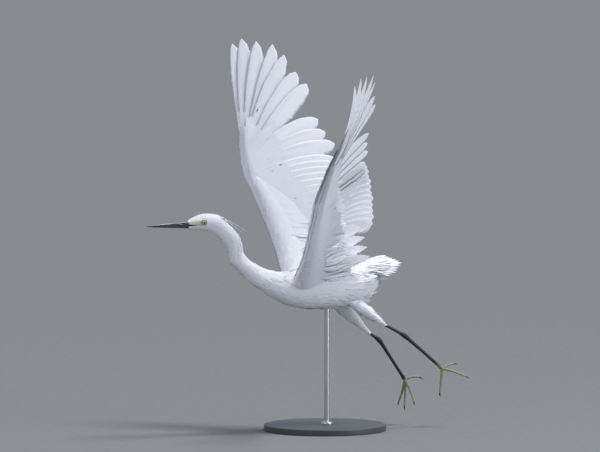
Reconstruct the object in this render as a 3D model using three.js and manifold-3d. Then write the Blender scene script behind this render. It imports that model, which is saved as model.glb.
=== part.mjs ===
// A little egret taking off, life size, held up by a plain display stand.
// Millimetres. The bird flies towards -X, its left side faces -Y, +Z is up.
// The origin is the centre of the underside of the stand's base.
import * as THREE from "three";
import { mergeVertices } from "three/addons/utils/BufferGeometryUtils.js";
import ManifoldModule from "manifold-3d";

const wasm = await ManifoldModule();
wasm.setup();
const { Manifold, Mesh: SolidMesh } = wasm;

const GAP = 0.3;
const DEG = Math.PI / 180;
const point = (x, y, z) => new THREE.Vector3(x, y, z);
const model = new THREE.Group();
model.name = "little_egret_taking_off";

// Colours and surfaces.
const surface = (color, roughness, metalness = 0) =>
  new THREE.MeshStandardMaterial({ color, roughness, metalness });
const white_plumage = surface(0xeceff3, 0.85);
const bill_horn = surface(0x1b1d22, 0.4);
const eye_gloss = surface(0x14120f, 0.08);
const leg_scales = surface(0x17191b, 0.5);
const foot_skin = surface(0xa8a03a, 0.55);
const claw_horn = surface(0x22201c, 0.4);
const stand_paint = surface(0x3a3d42, 0.6);
const stand_steel = surface(0xb9bcc0, 0.3, 1);

// Values between the rows of a table, on a smooth curve through them.
function blend(rows, t) {
  const i = Math.min(Math.max(Math.floor(t), 0), rows.length - 2);
  const f = t - i;
  const row = (k) => rows[Math.min(Math.max(k, 0), rows.length - 1)];
  return rows[i].map((a, column) => {
    const b = row(i + 1)[column];
    const m0 = (b - row(i - 1)[column]) / 2;
    const m1 = (row(i + 2)[column] - a) / 2;
    const late = f * f * (3 - 2 * f);
    return a * (1 - late) + b * late + m0 * f * (1 - f) ** 2 - m1 * f * f * (1 - f);
  });
}

// A closed surface through rings of equal size, capped at both ends and facing out.
// A plate has four corners to a ring, and both its broad faces are split the same way.
function skin(rings, plate = false) {
  const around = rings[0].length;
  const corners = rings.flat();
  const faces = [];
  for (let row = 0; row + 1 < rings.length; row += 1) {
    for (let k = 0; k < around; k += 1) {
      const a = row * around + k;
      const b = row * around + ((k + 1) % around);
      const c = a + around;
      const d = b + around;
      if (plate && k === 2) faces.push([a, b, c], [b, d, c]);
      else faces.push([a, b, d], [a, d, c]);
    }
  }
  const last = (rings.length - 1) * around;
  if (plate) {
    faces.push([0, 2, 1], [0, 3, 2]);
    faces.push([last, last + 1, last + 2], [last, last + 2, last + 3]);
  } else {
    for (const [start, turn] of [[0, false], [last, true]]) {
      const middle = corners.length;
      const ring = rings[start === 0 ? 0 : rings.length - 1];
      const centre = ring.reduce((sum, p) => sum.add(p), point(0, 0, 0));
      corners.push(centre.multiplyScalar(1 / around));
      for (let k = 0; k < around; k += 1) {
        const a = start + k;
        const b = start + ((k + 1) % around);
        faces.push(turn ? [a, b, middle] : [b, a, middle]);
      }
    }
  }
  let volume = 0;
  for (const [a, b, c] of faces) {
    volume += corners[a].dot(corners[b].clone().cross(corners[c]));
  }
  if (volume < 0) faces.forEach((face) => face.reverse());
  const shape = new THREE.BufferGeometry();
  const flat = corners.flatMap((p) => [p.x, p.y, p.z]);
  shape.setAttribute("position", new THREE.Float32BufferAttribute(flat, 3));
  shape.setIndex(faces.flat());
  return shape;
}

function solid(shape) {
  const loose = shape.index ? shape.toNonIndexed() : shape;
  const bare = new THREE.BufferGeometry();
  bare.setAttribute("position", loose.getAttribute("position"));
  const merged = mergeVertices(bare, 1e-3);
  return new Manifold(
    new SolidMesh({
      numProp: 3,
      vertProperties: merged.attributes.position.array,
      triVerts: new Uint32Array(merged.index.array),
    }),
  );
}

function largest(joined) {
  const pieces = joined.decompose();
  return pieces.reduce((best, piece) => (piece.volume() > best.volume() ? piece : best));
}

function shapeOf(body) {
  const { vertProperties, triVerts, numProp } = body.getMesh();
  const flat = [];
  for (const v of triVerts) {
    flat.push(...vertProperties.slice(v * numProp, v * numProp + 3));
  }
  const shape = new THREE.BufferGeometry();
  shape.setAttribute("position", new THREE.Float32BufferAttribute(flat, 3));
  shape.computeVertexNormals();
  return shape;
}

function add(name, part, material) {
  const shape = part.isBufferGeometry ? part : shapeOf(part);
  if (part.isBufferGeometry) shape.computeVertexNormals();
  const mesh = new THREE.Mesh(shape, material);
  mesh.name = name;
  model.add(mesh);
}

const fuse = (shapes) => largest(Manifold.union(shapes.map(solid)));

// A round tube through a list of [point, radius].
function tube(stations, around = 8) {
  const rings = stations.map(([centre, radius], i) => {
    const before = stations[Math.max(i - 1, 0)][0];
    const after = stations[Math.min(i + 1, stations.length - 1)][0];
    const along = after.clone().sub(before).normalize();
    const side = point(0, 1, 0).cross(along).normalize();
    const up = along.clone().cross(side);
    return Array.from({ length: around }, (_, k) => {
      const turn = (2 * Math.PI * (k + 0.5)) / around;
      return centre
        .clone()
        .addScaledVector(side, radius * Math.cos(turn))
        .addScaledVector(up, radius * Math.sin(turn));
    });
  });
  return skin(rings);
}

// Head, neck and torso are one run of sections from the bill to the vent.
// Each row: dorsal x, dorsal z, ventral x, ventral z, half width.
const SECTIONS = [
  [-290.0, 413.6, -290.0, 398.4, 6.6],
  [-277.0, 420.6, -277.0, 395.8, 10.2],
  [-260.0, 426.4, -262.0, 394.2, 13.4],
  [-243.0, 426.9, -249.0, 391.4, 15.2],
  [-228.5, 424.2, -238.6, 386.2, 15.2],
  [-217.0, 418.0, -229.5, 379.8, 14.6],
  [-206.0, 408.6, -221.0, 372.0, 14.0],
  [-195.0, 398.8, -213.5, 363.6, 13.6],
  [-184.0, 387.4, -208.2, 355.4, 13.4],
  [-175.6, 370.0, -205.2, 345.2, 13.8],
  [-170.2, 350.4, -200.4, 330.4, 15.0],
  [-158.6, 336.4, -188.0, 315.2, 16.6],
  [-133.0, 322.4, -161.0, 288.8, 19.0],
  [-108.0, 314.4, -137.0, 272.6, 23.0],
  [-88.0, 312.6, -108.0, 254.0, 28.0],
  [-62.0, 316.4, -78.0, 240.6, 35.0],
  [-30.0, 320.0, -42.0, 233.6, 40.0],
  [5.0, 322.6, 0.0, 232.4, 42.0],
  [40.0, 323.6, 38.0, 235.2, 41.0],
  [66.0, 322.6, 68.0, 238.6, 36.0],
  [86.0, 319.0, 88.0, 246.6, 28.0],
  [97.0, 311.0, 101.0, 262.0, 19.0],
  [102.0, 300.0, 107.0, 278.0, 9.0],
];
const HEAD_END = 5.6;
const NECK_BEND = 10;
const NECK_END = 14;
const BODY_AROUND = 24;

function section(t, grow = 0, shift = 0) {
  const [dorsalX, dorsalZ, ventralX, ventralZ, halfWidth] = blend(SECTIONS, t);
  const centre = point((dorsalX + ventralX) / 2, 0, (dorsalZ + ventralZ) / 2);
  const up = point(dorsalX - ventralX, 0, dorsalZ - ventralZ).multiplyScalar(0.5);
  const along = point(up.z, 0, -up.x).normalize();
  centre.addScaledVector(along, shift);
  up.setLength(up.length() + grow);
  return Array.from({ length: BODY_AROUND }, (_, k) => {
    const turn = (2 * Math.PI * k) / BODY_AROUND;
    return centre
      .clone()
      .addScaledVector(up, Math.cos(turn))
      .add(point(0, (halfWidth + grow) * Math.sin(turn), 0));
  });
}

function bodyPiece(from, to, rows, grow = 0) {
  const rings = Array.from({ length: rows }, (_, i) => {
    const t = from + ((to - from) * i) / (rows - 1);
    const inset = GAP / 2 - grow;
    const shift = i === 0 ? inset : i === rows - 1 ? -inset : 0;
    return section(t, grow, shift);
  });
  return skin(rings);
}

// Outlines of feather vanes, as rows of [share of the length, share of the full width].
const ROUNDED = [[0, 0.2], [0.3, 0.85], [0.6, 1], [0.82, 0.88], [0.95, 0.55], [1, 0.2]];
const POINTED = [[0, 0.2], [0.3, 0.85], [0.6, 1], [0.78, 0.8], [0.91, 0.5], [1, 0.12]];
const SHORT = [[0, 0.4], [0.5, 1], [0.86, 0.8], [1, 0.3]];
const PLUME = [[0, 1], [0.5, 1], [0.85, 0.7], [1, 0.25]];
const VANE_THICK = 0.8;

// along, back and up are the feather's own axes: to its tip, to its trailing edge, to its upper face.
// The axis bows in the feather's plane and arches out of it; a lift at the root fades out to the tip.
function vane(feather) {
  const { root, along, back, up, length, lead, trail, profile } = feather;
  const { from = 0, to = length, bow = 0, arch = 0, lift = 0, raise = 0, tilt = 8, mirror = 1 } = feather;
  const across = back.clone().applyAxisAngle(back.clone().cross(up), -tilt * DEG);
  const above = up.clone().applyAxisAngle(back.clone().cross(up), -tilt * DEG);
  const rings = profile.map(([step, wide]) => {
    const share = (from + (to - from) * step) / length;
    const bend = 4 * (share - share * share);
    const centre = root
      .clone()
      .addScaledVector(along, length * share)
      .addScaledVector(back, -bow * bend)
      .addScaledVector(up, arch * bend + lift * (1 - share) + raise);
    const corner = (width, height) => {
      const p = centre.clone().addScaledVector(across, width).addScaledVector(above, height);
      return point(p.x, p.y * mirror, p.z);
    };
    const half = VANE_THICK / 2;
    return [
      corner(-lead * wide, half),
      corner(trail * wide, half),
      corner(trail * wide, -half),
      corner(-lead * wide, -half),
    ];
  });
  return skin(rings, true);
}

// Both wings are worked out as a right wing (+Y) and mirrored for the left one.
// Primaries from the outermost inwards: root on the hand, length, angle back from the hand's line,
// outline, width and height of the root in the stack.
const PRIMARIES = [
  [92, 185, -7.4, POINTED, 21, -2.4],
  [86, 198, -1.5, POINTED, 25, -1.3],
  [76, 207, 6.5, POINTED, 28, -0.2],
  [67, 210, 15, POINTED, 29, 0.8],
  [58, 204, 22, POINTED, 29, 1.6],
  [49, 190, 31, ROUNDED, 28, 2.1],
  [40, 184, 39, ROUNDED, 28, 2.4],
  [30, 159, 59, ROUNDED, 28, 2.4],
  [20, 163, 66.5, ROUNDED, 28, 2.3],
  [10, 171, 73.5, ROUNDED, 28, 2.2],
];
const COVERT_HEIGHT = 3.9;
const SECONDARY_COUNT = 12;
const TERTIAL_COUNT = 4;
const SECONDARY_WIDTH = 29;
const TERTIAL_WIDTH = 30;
const HAND_LENGTH = 98;
// How far the outermost primary's root moves towards the leading edge where the hand is spread, and
// how much less each next one does.
const SPREAD_FORWARD = 12;
const SPREAD_STEP = 2.5;
const LEAD_SHARE = 0.38;
const COVERT = { from: -10, lead: 11, trail: 15, profile: SHORT };
const ELBOW_SET_BACK = 46;
// Share of the way from shoulder to wrist, reach ahead, reach behind, thickness.
const ARM_SECTIONS = [
  [-0.16, 24, 60, 26],
  [0.06, 22, 62, 24],
  [0.28, 14, 62, 20],
  [0.52, 11, 58, 18],
  [0.76, 10, 43, 16],
  [1, 9, 23, 14],
];
// The same from wrist to hand's end, with the further reach ahead of a spread hand.
const HAND_SECTIONS = [
  [0.34, 9, 18, 12, 8],
  [0.68, 8, 13, 10, 11],
  [1, 5, 8, 7, 12],
];
const CORE_AROUND = 12;

function wing(pose) {
  const { shoulder, wrist, span, chord, rootChord, mirror } = pose;
  const armLine = wrist.clone().sub(shoulder);
  const armSpan = armLine.clone().normalize();
  const flat = (v) => point(v.x, v.y * mirror, v.z);

  const chordAt = (share) => {
    const t = Math.min(Math.max(share, 0), 1);
    const mix = rootChord.clone().lerp(chord, t * (2 - t));
    return mix.normalize();
  };
  const spanAt = (share) => {
    const turned = Math.max(0, share - 0.6) / 0.8;
    return armSpan.clone().lerp(span, turned).normalize();
  };

  const ring = (centre, along, back, ahead, behind, thick) => {
    const up = back.clone().cross(along).normalize();
    const middle = centre.clone().addScaledVector(back, (behind - ahead) / 2);
    const reach = (ahead + behind) / 2;
    return Array.from({ length: CORE_AROUND }, (_, k) => {
      const turn = (2 * Math.PI * k) / CORE_AROUND;
      const fullness = 1 - 0.15 * Math.cos(turn);
      const corner = middle
        .clone()
        .addScaledVector(back, reach * Math.cos(turn))
        .addScaledVector(up, (thick / 2) * Math.sin(turn) * fullness);
      return flat(corner);
    });
  };
  const armRings = ARM_SECTIONS.map(([share, ahead, behind, thick]) => {
    const centre = shoulder.clone().addScaledVector(armLine, share);
    return ring(centre, spanAt(share), chordAt(share), ahead - pose.slimmer * (1 - share), behind, thick);
  });
  const handRings = HAND_SECTIONS.map(([share, ahead, behind, thick, forward]) => {
    const centre = wrist.clone().addScaledVector(span, share * HAND_LENGTH);
    return ring(centre, span, chord, ahead + forward * pose.spread, behind, thick);
  });
  const shapes = [skin([...armRings, ...handRings])];

  // One flight feather, and a covert above and below it where asked for.
  const feather = (root, alongSpan, alongChord, angle, look, coverts) => {
    const c = Math.cos(angle * DEG);
    const s = Math.sin(angle * DEG);
    const along = alongSpan.clone().multiplyScalar(c).addScaledVector(alongChord, s).normalize();
    const up = alongChord.clone().cross(alongSpan).normalize();
    const back = up.clone().cross(along).normalize();
    if (back.dot(alongSpan) * s > 0) back.negate();
    const lead = look.width * LEAD_SHARE;
    const shared = { along, back, up, mirror, root, arch: look.length * 0.03, ...look };
    shapes.push(vane({ ...shared, lead, trail: look.width - lead }));
    for (const [side, share] of coverts) {
      shapes.push(vane({ ...shared, ...COVERT, to: look.length * share, raise: side * COVERT_HEIGHT }));
    }
  };

  PRIMARIES.forEach(([at, length, angle, profile, width, lift], i) => {
    const forward = pose.spread * Math.max(0, SPREAD_FORWARD - SPREAD_STEP * i);
    const root = wrist.clone().addScaledVector(span, at).addScaledVector(chord, 1 - forward);
    const turned = angle + Math.atan2(forward, length) / DEG;
    const bow = i > 6 ? 11 : i > 3 ? 5 : -2;
    const arch = Math.min(2 * i - 10, 4);
    const coverts = i % 2 === 1 ? [[1, 0.32 + 0.01 * i], [-1, 0.3 + 0.01 * i]] : [];
    const look = { length, profile, width: width * pose.primaryWidth, bow, lift, arch };
    feather(root, span, chord, turned, look, coverts);
  });

  const elbow = shoulder
    .clone()
    .addScaledVector(armLine, 0.5)
    .addScaledVector(chordAt(0.5), ELBOW_SET_BACK);
  for (let i = 0; i < SECONDARY_COUNT; i += 1) {
    const u = (i + 0.6) / SECONDARY_COUNT;
    const root = wrist.clone().lerp(elbow, u);
    const back = chordAt(1 - pose.twist * u);
    const length = pose.secondaryLength(u);
    const look = { length, profile: ROUNDED, width: SECONDARY_WIDTH, bow: 10 - 6 * u, lift: 2 - 2 * u };
    const coverts = i % 2 === 1 ? [[1, 0.42], [-1, 0.38]] : [];
    feather(root, span, back, 78 + 20 * u, look, coverts);
  }
  const innermost = shoulder.clone().addScaledVector(chordAt(0), 50).addScaledVector(armLine, 0.12);
  for (let i = 0; i < TERTIAL_COUNT; i += 1) {
    const u = (i + 0.7) / TERTIAL_COUNT;
    const root = elbow.clone().lerp(innermost, u);
    const back = chordAt(0.5 - 0.4 * u);
    const look = { length: pose.tertialLength(u), profile: ROUNDED, width: TERTIAL_WIDTH, bow: 0 };
    feather(root, spanAt(0), back, 92 - 6 * u, look, i % 2 === 1 ? [[1, 0.45]] : []);
  }
  return shapes;
}

const RIGHT_WING = {
  mirror: 1,
  shoulder: point(-62, 30, 302),
  wrist: point(-90.7, 148.1, 481.2),
  span: point(0.106, 0.341, 0.934).normalize(),
  chord: point(0.888, -0.456, 0.065).normalize(),
  rootChord: point(0.985, 0.02, 0.08).normalize(),
  slimmer: 7,
  spread: 1,
  primaryWidth: 1.25,
  twist: 0.5,
  secondaryLength: (u) => 170 - 16 * u,
  tertialLength: (u) => 118 - 14 * u,
};
const LEFT_WING = {
  mirror: -1,
  shoulder: point(-60, 30, 292),
  wrist: point(-92.3, 165.9, 448.9),
  span: point(0.079, 0.503, 0.861).normalize(),
  chord: point(0.784, -0.565, 0.258).normalize(),
  rootChord: point(0.985, 0.02, 0.08).normalize(),
  slimmer: 0,
  spread: 0,
  primaryWidth: 1,
  twist: 0.6,
  secondaryLength: (u) => 174 + 15 * Math.sin(Math.PI * u) - 26 * u * u,
  tertialLength: (u) => 112 - 20 * u,
};

// The torso and lower neck with a clearance round them, cut from what grows out of the body.
const TORSO_ROWS = 17;
const NECK_ROWS = 9;
const CLEARANCE = 0.4;
const bodyClearance = Manifold.union([
  solid(bodyPiece(NECK_END, SECTIONS.length - 1, TORSO_ROWS, CLEARANCE)),
  solid(bodyPiece(NECK_BEND, NECK_END, NECK_ROWS, CLEARANCE)),
]);
const wingSolid = (pose) => largest(Manifold.union(wing(pose).map(solid)).subtract(bodyClearance));
add("wing_right", wingSolid(RIGHT_WING), white_plumage);
add("wing_left", wingSolid(LEFT_WING), white_plumage);

// Tail: twelve vanes fanned from a short root, stacked so that the outer ones lie lower.
const TAIL_FEATHERS = 12;
const TAIL_ROOT = point(74, 0, 311);
const TAIL_ROLL = 28 * DEG;
const TAIL_STACK = 0.6;
const rolled = (v) => v.applyAxisAngle(point(1, 0, 0), TAIL_ROLL);
const tailShapes = [
  tube([
    [TAIL_ROOT.clone().add(point(-14, 0, -1)), 9],
    [TAIL_ROOT.clone().add(point(22, 0, -1)), 10],
    [TAIL_ROOT.clone().add(point(40, 0, 0)), 5],
  ], 12),
];
function tailVane(out, length, drop, depth, profile) {
  const sign = out < 0 ? -1 : 1;
  const spread = out * 5 * DEG;
  const along = rolled(point(Math.cos(spread), Math.sin(spread), Math.tan(drop * DEG)).normalize());
  const outward = rolled(point(-Math.sin(spread), Math.cos(spread), 0)).multiplyScalar(sign);
  const up = along.clone().cross(outward).multiplyScalar(sign);
  const root = TAIL_ROOT.clone().add(rolled(point(6, out * 1.3, depth)));
  return vane({ root, along, back: outward, up, length, lead: 9, trail: 8, profile, arch: 1.5, tilt: -6 });
}
for (let i = 0; i < TAIL_FEATHERS; i += 1) {
  const out = i - (TAIL_FEATHERS - 1) / 2;
  const depth = (out === 0.5 ? 3.1 : 2.5) - TAIL_STACK * Math.abs(out);
  const length = 86 - Math.abs(out) * (out > 0 ? 1.4 : 6);
  tailShapes.push(tailVane(out, length, 3 - 0.3 * Math.abs(out), depth, ROUNDED));
}
for (const out of [-4.5, -1.5, 1.5, 4.5]) {
  tailShapes.push(tailVane(out, 54 + 1.5 * out, 1 - Math.abs(out), -4 - 0.4 * Math.abs(out), SHORT));
}
const tailSolid = Manifold.union(tailShapes.map(solid)).subtract(bodyClearance);
add("tail", largest(tailSolid), white_plumage);

// Head: crown, lids, line of the mouth and two nape plumes.
const EYE = { x: -260.6, y: 9.4, z: 410.2, radius: 5.2 };
const LID = { radius: 4.9, thick: 0.9, out: 3.4 };
const HEAD_ROWS = 15;
const headShapes = [bodyPiece(0, HEAD_END, HEAD_ROWS)];
for (const side of [-1, 1]) {
  const lid = new THREE.TorusGeometry(LID.radius, LID.thick, 5, 16);
  lid.rotateX(Math.PI / 2);
  lid.translate(EYE.x, side * (EYE.y + LID.out), EYE.z);
  headShapes.push(lid);
}
const PLUMES = [
  [point(-223, -2.6, 419), point(-166.5, -4.5, 388)],
  [point(-223, 2.6, 418.5), point(-169.5, 4.5, 384)],
];
for (const [root, tip] of PLUMES) {
  const along = tip.clone().sub(root);
  const length = along.length();
  along.normalize();
  const back = point(0, 1, 0);
  const up = back.clone().cross(along).negate().normalize();
  const look = { length, lead: 1.8, trail: 1.8, profile: PLUME, arch: 5, tilt: 0 };
  headShapes.push(vane({ root, along, back, up, ...look }));
}
const sphereAt = (radius, x, y, z) => new THREE.SphereGeometry(radius, 16, 10).translate(x, y, z);
function mouthSlit(side) {
  const slit = new THREE.BoxGeometry(26, 3, 0.7);
  slit.rotateY(-0.1);
  slit.rotateZ(side * 0.24);
  return slit.translate(-281, side * 10.4, 403.8);
}
const headCuts = [-1, 1].flatMap((side) => [
  sphereAt(EYE.radius + GAP, EYE.x, side * EYE.y, EYE.z),
  mouthSlit(side),
]);
const headSolid = Manifold.union(headShapes.map(solid)).subtract(Manifold.union(headCuts.map(solid)));
add("head", largest(headSolid), white_plumage);
for (const [side, name] of [[-1, "eye_left"], [1, "eye_right"]]) {
  add(name, sphereAt(EYE.radius, EYE.x, side * EYE.y, EYE.z), eye_gloss);
}
add("neck_upper", bodyPiece(HEAD_END, NECK_BEND, NECK_ROWS), white_plumage);
add("neck_lower", bodyPiece(NECK_BEND, NECK_END, NECK_ROWS), white_plumage);

// Bill: upper and lower mandibles, with nostril slits in the upper.
const BILL_BASE_X = -290.45;
const BILL_TIP_X = -375.9;
const MOUTH_Z = 405.4;
// Share of the length, height above or below the line of the mouth, half width.
const UPPER_BILL = [
  [0, 7.7, 5.6],
  [0.2, 6.3, 4.6],
  [0.5, 4.5, 3.4],
  [0.8, 2.7, 2.2],
  [0.95, 1.3, 1.2],
  [1, 0.5, 0.5],
];
const LOWER_BILL = [
  [0, 6.4, 5.2],
  [0.2, 5.0, 4.3],
  [0.5, 3.5, 3.1],
  [0.8, 2.0, 1.9],
  [0.94, 0.9, 1.0],
  [0.975, 0.5, 0.5],
];
function mandible(rows, direction) {
  const rings = rows.map(([share, high, wide]) => {
    const x = BILL_BASE_X + (BILL_TIP_X - BILL_BASE_X) * share;
    const line = MOUTH_Z - 0.7 * share + (direction * GAP) / 2;
    const corners = [];
    for (let k = 0; k <= 8; k += 1) {
      const turn = (Math.PI * k) / 8;
      corners.push(point(x, wide * Math.cos(turn), line + direction * high * Math.sin(turn) ** 0.8));
    }
    return corners;
  });
  return skin(rings);
}
function nostril(side) {
  const slit = new THREE.BoxGeometry(9, 1.6, 1.1);
  slit.rotateY(0.06);
  return slit.translate(BILL_BASE_X - 13, side * 4.9, MOUTH_Z + 3.2);
}
const nostrils = Manifold.union([nostril(-1), nostril(1)].map(solid));
add("bill_upper", largest(solid(mandible(UPPER_BILL, 1)).subtract(nostrils)), bill_horn);
add("bill_lower", mandible(LOWER_BILL, -1), bill_horn);

// Legs, each from the hip to the feathering's cuff, the ankle and the hub of the toes.
const LEGS = {
  right: {
    hip: point(22, 20, 256),
    cuff: point(105, 25.5, 184),
    ankle: point(128.6, 26, 168.1),
    hub: point(183.6, 26, 88.7),
    toes: {
      hallux: [point(199, 23, 96), point(211.6, 20, 92.7)],
      inner: [point(193, 18, 70), point(195.7, 10, 46.2)],
      middle: [point(190, 34, 66), point(188, 36, 36)],
      outer: [point(187, 38, 70), point(182, 50, 42)],
    },
  },
  left: {
    hip: point(42, -19, 254),
    cuff: point(113, -28, 203.5),
    ankle: point(156.4, -30, 179.5),
    hub: point(235, -34, 113.2),
    toes: {
      hallux: [point(248, -34, 121), point(259.5, -34, 121.4)],
      inner: [point(240, -23, 92), point(241, -14, 67.3)],
      middle: [point(233, -34, 92), point(230.1, -34, 66)],
      outer: [point(258, -43, 108), point(279.1, -50, 97.3)],
    },
  },
};
// Thigh as share of the way from hip to cuff and radius, claw as share of its length and radius.
const THIGH = [[0, 15], [0.2, 15], [0.45, 12.5], [0.7, 8.2], [0.9, 5], [1, 3.9]];
const CLAW = [[0, 1.6], [0.35, 1.3], [0.7, 0.8], [1, 0.25]];
const CLAW_CURL = 2.2;
const TOE_RADII = [3.4, 2.5, 2.7, 2.1, 2.4, 1.9, 2.1, 1.7];
const CLAW_LENGTH = { hallux: 10, inner: 7.5, middle: 8.5, outer: 7 };

for (const [name, leg] of Object.entries(LEGS)) {
  const down = leg.cuff.clone().sub(leg.hip);
  const thigh = tube(
    THIGH.map(([share, radius]) => [leg.hip.clone().addScaledVector(down, share), radius]),
    14,
  );
  add(`thigh_${name}`, largest(solid(thigh).subtract(bodyClearance)), white_plumage);

  const shinLine = leg.ankle.clone().sub(leg.cuff).normalize();
  const footLine = leg.hub.clone().sub(leg.ankle);
  const footLength = footLine.length();
  footLine.normalize();
  down.normalize();
  const start = leg.cuff.clone().addScaledVector(down, GAP);
  const along = (distance) => leg.ankle.clone().addScaledVector(footLine, distance);
  const shank = tube([
    [start, 3.0],
    [start.clone().addScaledVector(down, 3), 2.9],
    [start.clone().addScaledVector(down, 3).addScaledVector(shinLine, 6), 2.7],
    [leg.ankle.clone().addScaledVector(shinLine, -12), 3.1],
    [leg.ankle.clone().addScaledVector(shinLine, -4), 4.8],
    [along(3), 4.9],
    [along(11), 3.6],
    [along(footLength * 0.5), 2.9],
    [along(footLength - 14), 3.1],
    [along(footLength - 6), 3.7],
  ], 10);
  add(`shank_${name}`, shank, leg_scales);

  const footShapes = [tube([
    [along(footLength - 6 + GAP), 3.7],
    [along(footLength - 1), 4.4],
    [along(footLength + 3.2), 3.2],
  ], 10)];
  for (const [toe, [knuckle, tip]] of Object.entries(leg.toes)) {
    const bend = new THREE.QuadraticBezierCurve3(leg.hub, knuckle, tip);
    const joints = TOE_RADII.map((radius, i) => [bend.getPoint(i / (TOE_RADII.length - 1)), radius]);
    footShapes.push(tube(joints, 7));
    const ahead = bend.getTangent(1);
    const length = CLAW_LENGTH[toe];
    const curl = point(-ahead.z, 0, ahead.x).multiplyScalar(ahead.x > 0 ? -1 : 1);
    const stations = CLAW.map(([share, radius]) => {
      const out = ahead.clone().multiplyScalar(GAP + length * share);
      return [tip.clone().add(out).addScaledVector(curl, CLAW_CURL * share * share), radius];
    });
    add(`claw_${toe}_${name}`, tube(stations, 7), claw_horn);
  }
  add(`foot_${name}`, fuse(footShapes), foot_skin);
}

// Display stand: a round base, and one rod into a blind socket in the belly.
const BASE = { radius: 118, thick: 12, edge: 2 };
const ROD = { x: 4, radius: 5, top: 286 };
const socket = new THREE.CylinderGeometry(ROD.radius + GAP, ROD.radius + GAP, 100, 16)
  .rotateX(Math.PI / 2)
  .translate(ROD.x, 0, ROD.top + GAP - 50);
const torso = solid(bodyPiece(NECK_END, SECTIONS.length - 1, TORSO_ROWS)).subtract(solid(socket));
add("torso", largest(torso), white_plumage);

const lathe = (outline, segments, x) =>
  new THREE.LatheGeometry(outline.map(([r, z]) => new THREE.Vector2(r, z)), segments)
    .rotateX(Math.PI / 2)
    .translate(x, 0, 0);
const baseOutline = [
  [0, 0],
  [BASE.radius, 0],
  [BASE.radius, BASE.thick - BASE.edge],
  [BASE.radius - BASE.edge, BASE.thick],
  [0, BASE.thick],
];
add("stand_base", fuse([lathe(baseOutline, 48, 0)]), stand_paint);
// The rod stands just clear of the base and widens to a collar at its foot.
const foot = BASE.thick + GAP;
const COLLAR = { radius: 11, shoulder: 9.5 };
const rodOutline = [
  [0, foot],
  [COLLAR.radius, foot],
  [COLLAR.radius, foot + 3],
  [COLLAR.shoulder, foot + 5],
  [ROD.radius, foot + 6],
  [ROD.radius, ROD.top - 1],
  [ROD.radius - 1, ROD.top],
  [0, ROD.top],
];
add("stand_rod", fuse([lathe(rodOutline, 16, ROD.x)]), stand_steel);

export default model;
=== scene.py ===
# A little egret taking off, life size, held over a plain round display stand.
# Lengths are in millimetres until a mesh is made. The bird flies towards -X, its left side faces -Y.
import math

import bpy
import numpy as np
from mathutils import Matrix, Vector


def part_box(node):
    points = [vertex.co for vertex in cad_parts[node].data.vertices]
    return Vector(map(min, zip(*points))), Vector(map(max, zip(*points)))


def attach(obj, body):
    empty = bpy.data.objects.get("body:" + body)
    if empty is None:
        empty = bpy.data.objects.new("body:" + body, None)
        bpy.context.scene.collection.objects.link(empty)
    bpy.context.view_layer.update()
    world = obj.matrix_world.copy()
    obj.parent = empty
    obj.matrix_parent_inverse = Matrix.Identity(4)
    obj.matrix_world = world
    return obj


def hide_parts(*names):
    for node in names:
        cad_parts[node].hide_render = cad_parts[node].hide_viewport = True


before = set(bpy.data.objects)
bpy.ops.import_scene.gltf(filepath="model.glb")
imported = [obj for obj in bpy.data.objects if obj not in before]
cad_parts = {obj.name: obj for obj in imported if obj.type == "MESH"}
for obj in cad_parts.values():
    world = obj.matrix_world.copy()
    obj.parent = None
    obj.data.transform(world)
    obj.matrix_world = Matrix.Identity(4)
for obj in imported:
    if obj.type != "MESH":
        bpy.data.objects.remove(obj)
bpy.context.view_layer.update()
MM = 0.001
DEG = math.pi / 180
rng = np.random.default_rng(7)


def vec(*values):
    return np.array(values, float)


def unit(v):
    return v / np.linalg.norm(v, axis=-1, keepdims=True)


def square(direction, along):
    """A direction turned square to along, which is of unit length."""
    return unit(direction - along * np.dot(direction, along))


def hill(value, middle, width, power=2):
    """A smooth hill, 1 in its middle and near 0 beyond its width."""
    return math.exp(-(((value - middle) / width) ** power))


def distances(points):
    """How far along a line each of its points lies."""
    steps = np.linalg.norm(np.diff(points, axis=0), axis=1)
    return np.concatenate([[0], np.cumsum(steps)])


# Materials: every surface is made of nodes

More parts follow.
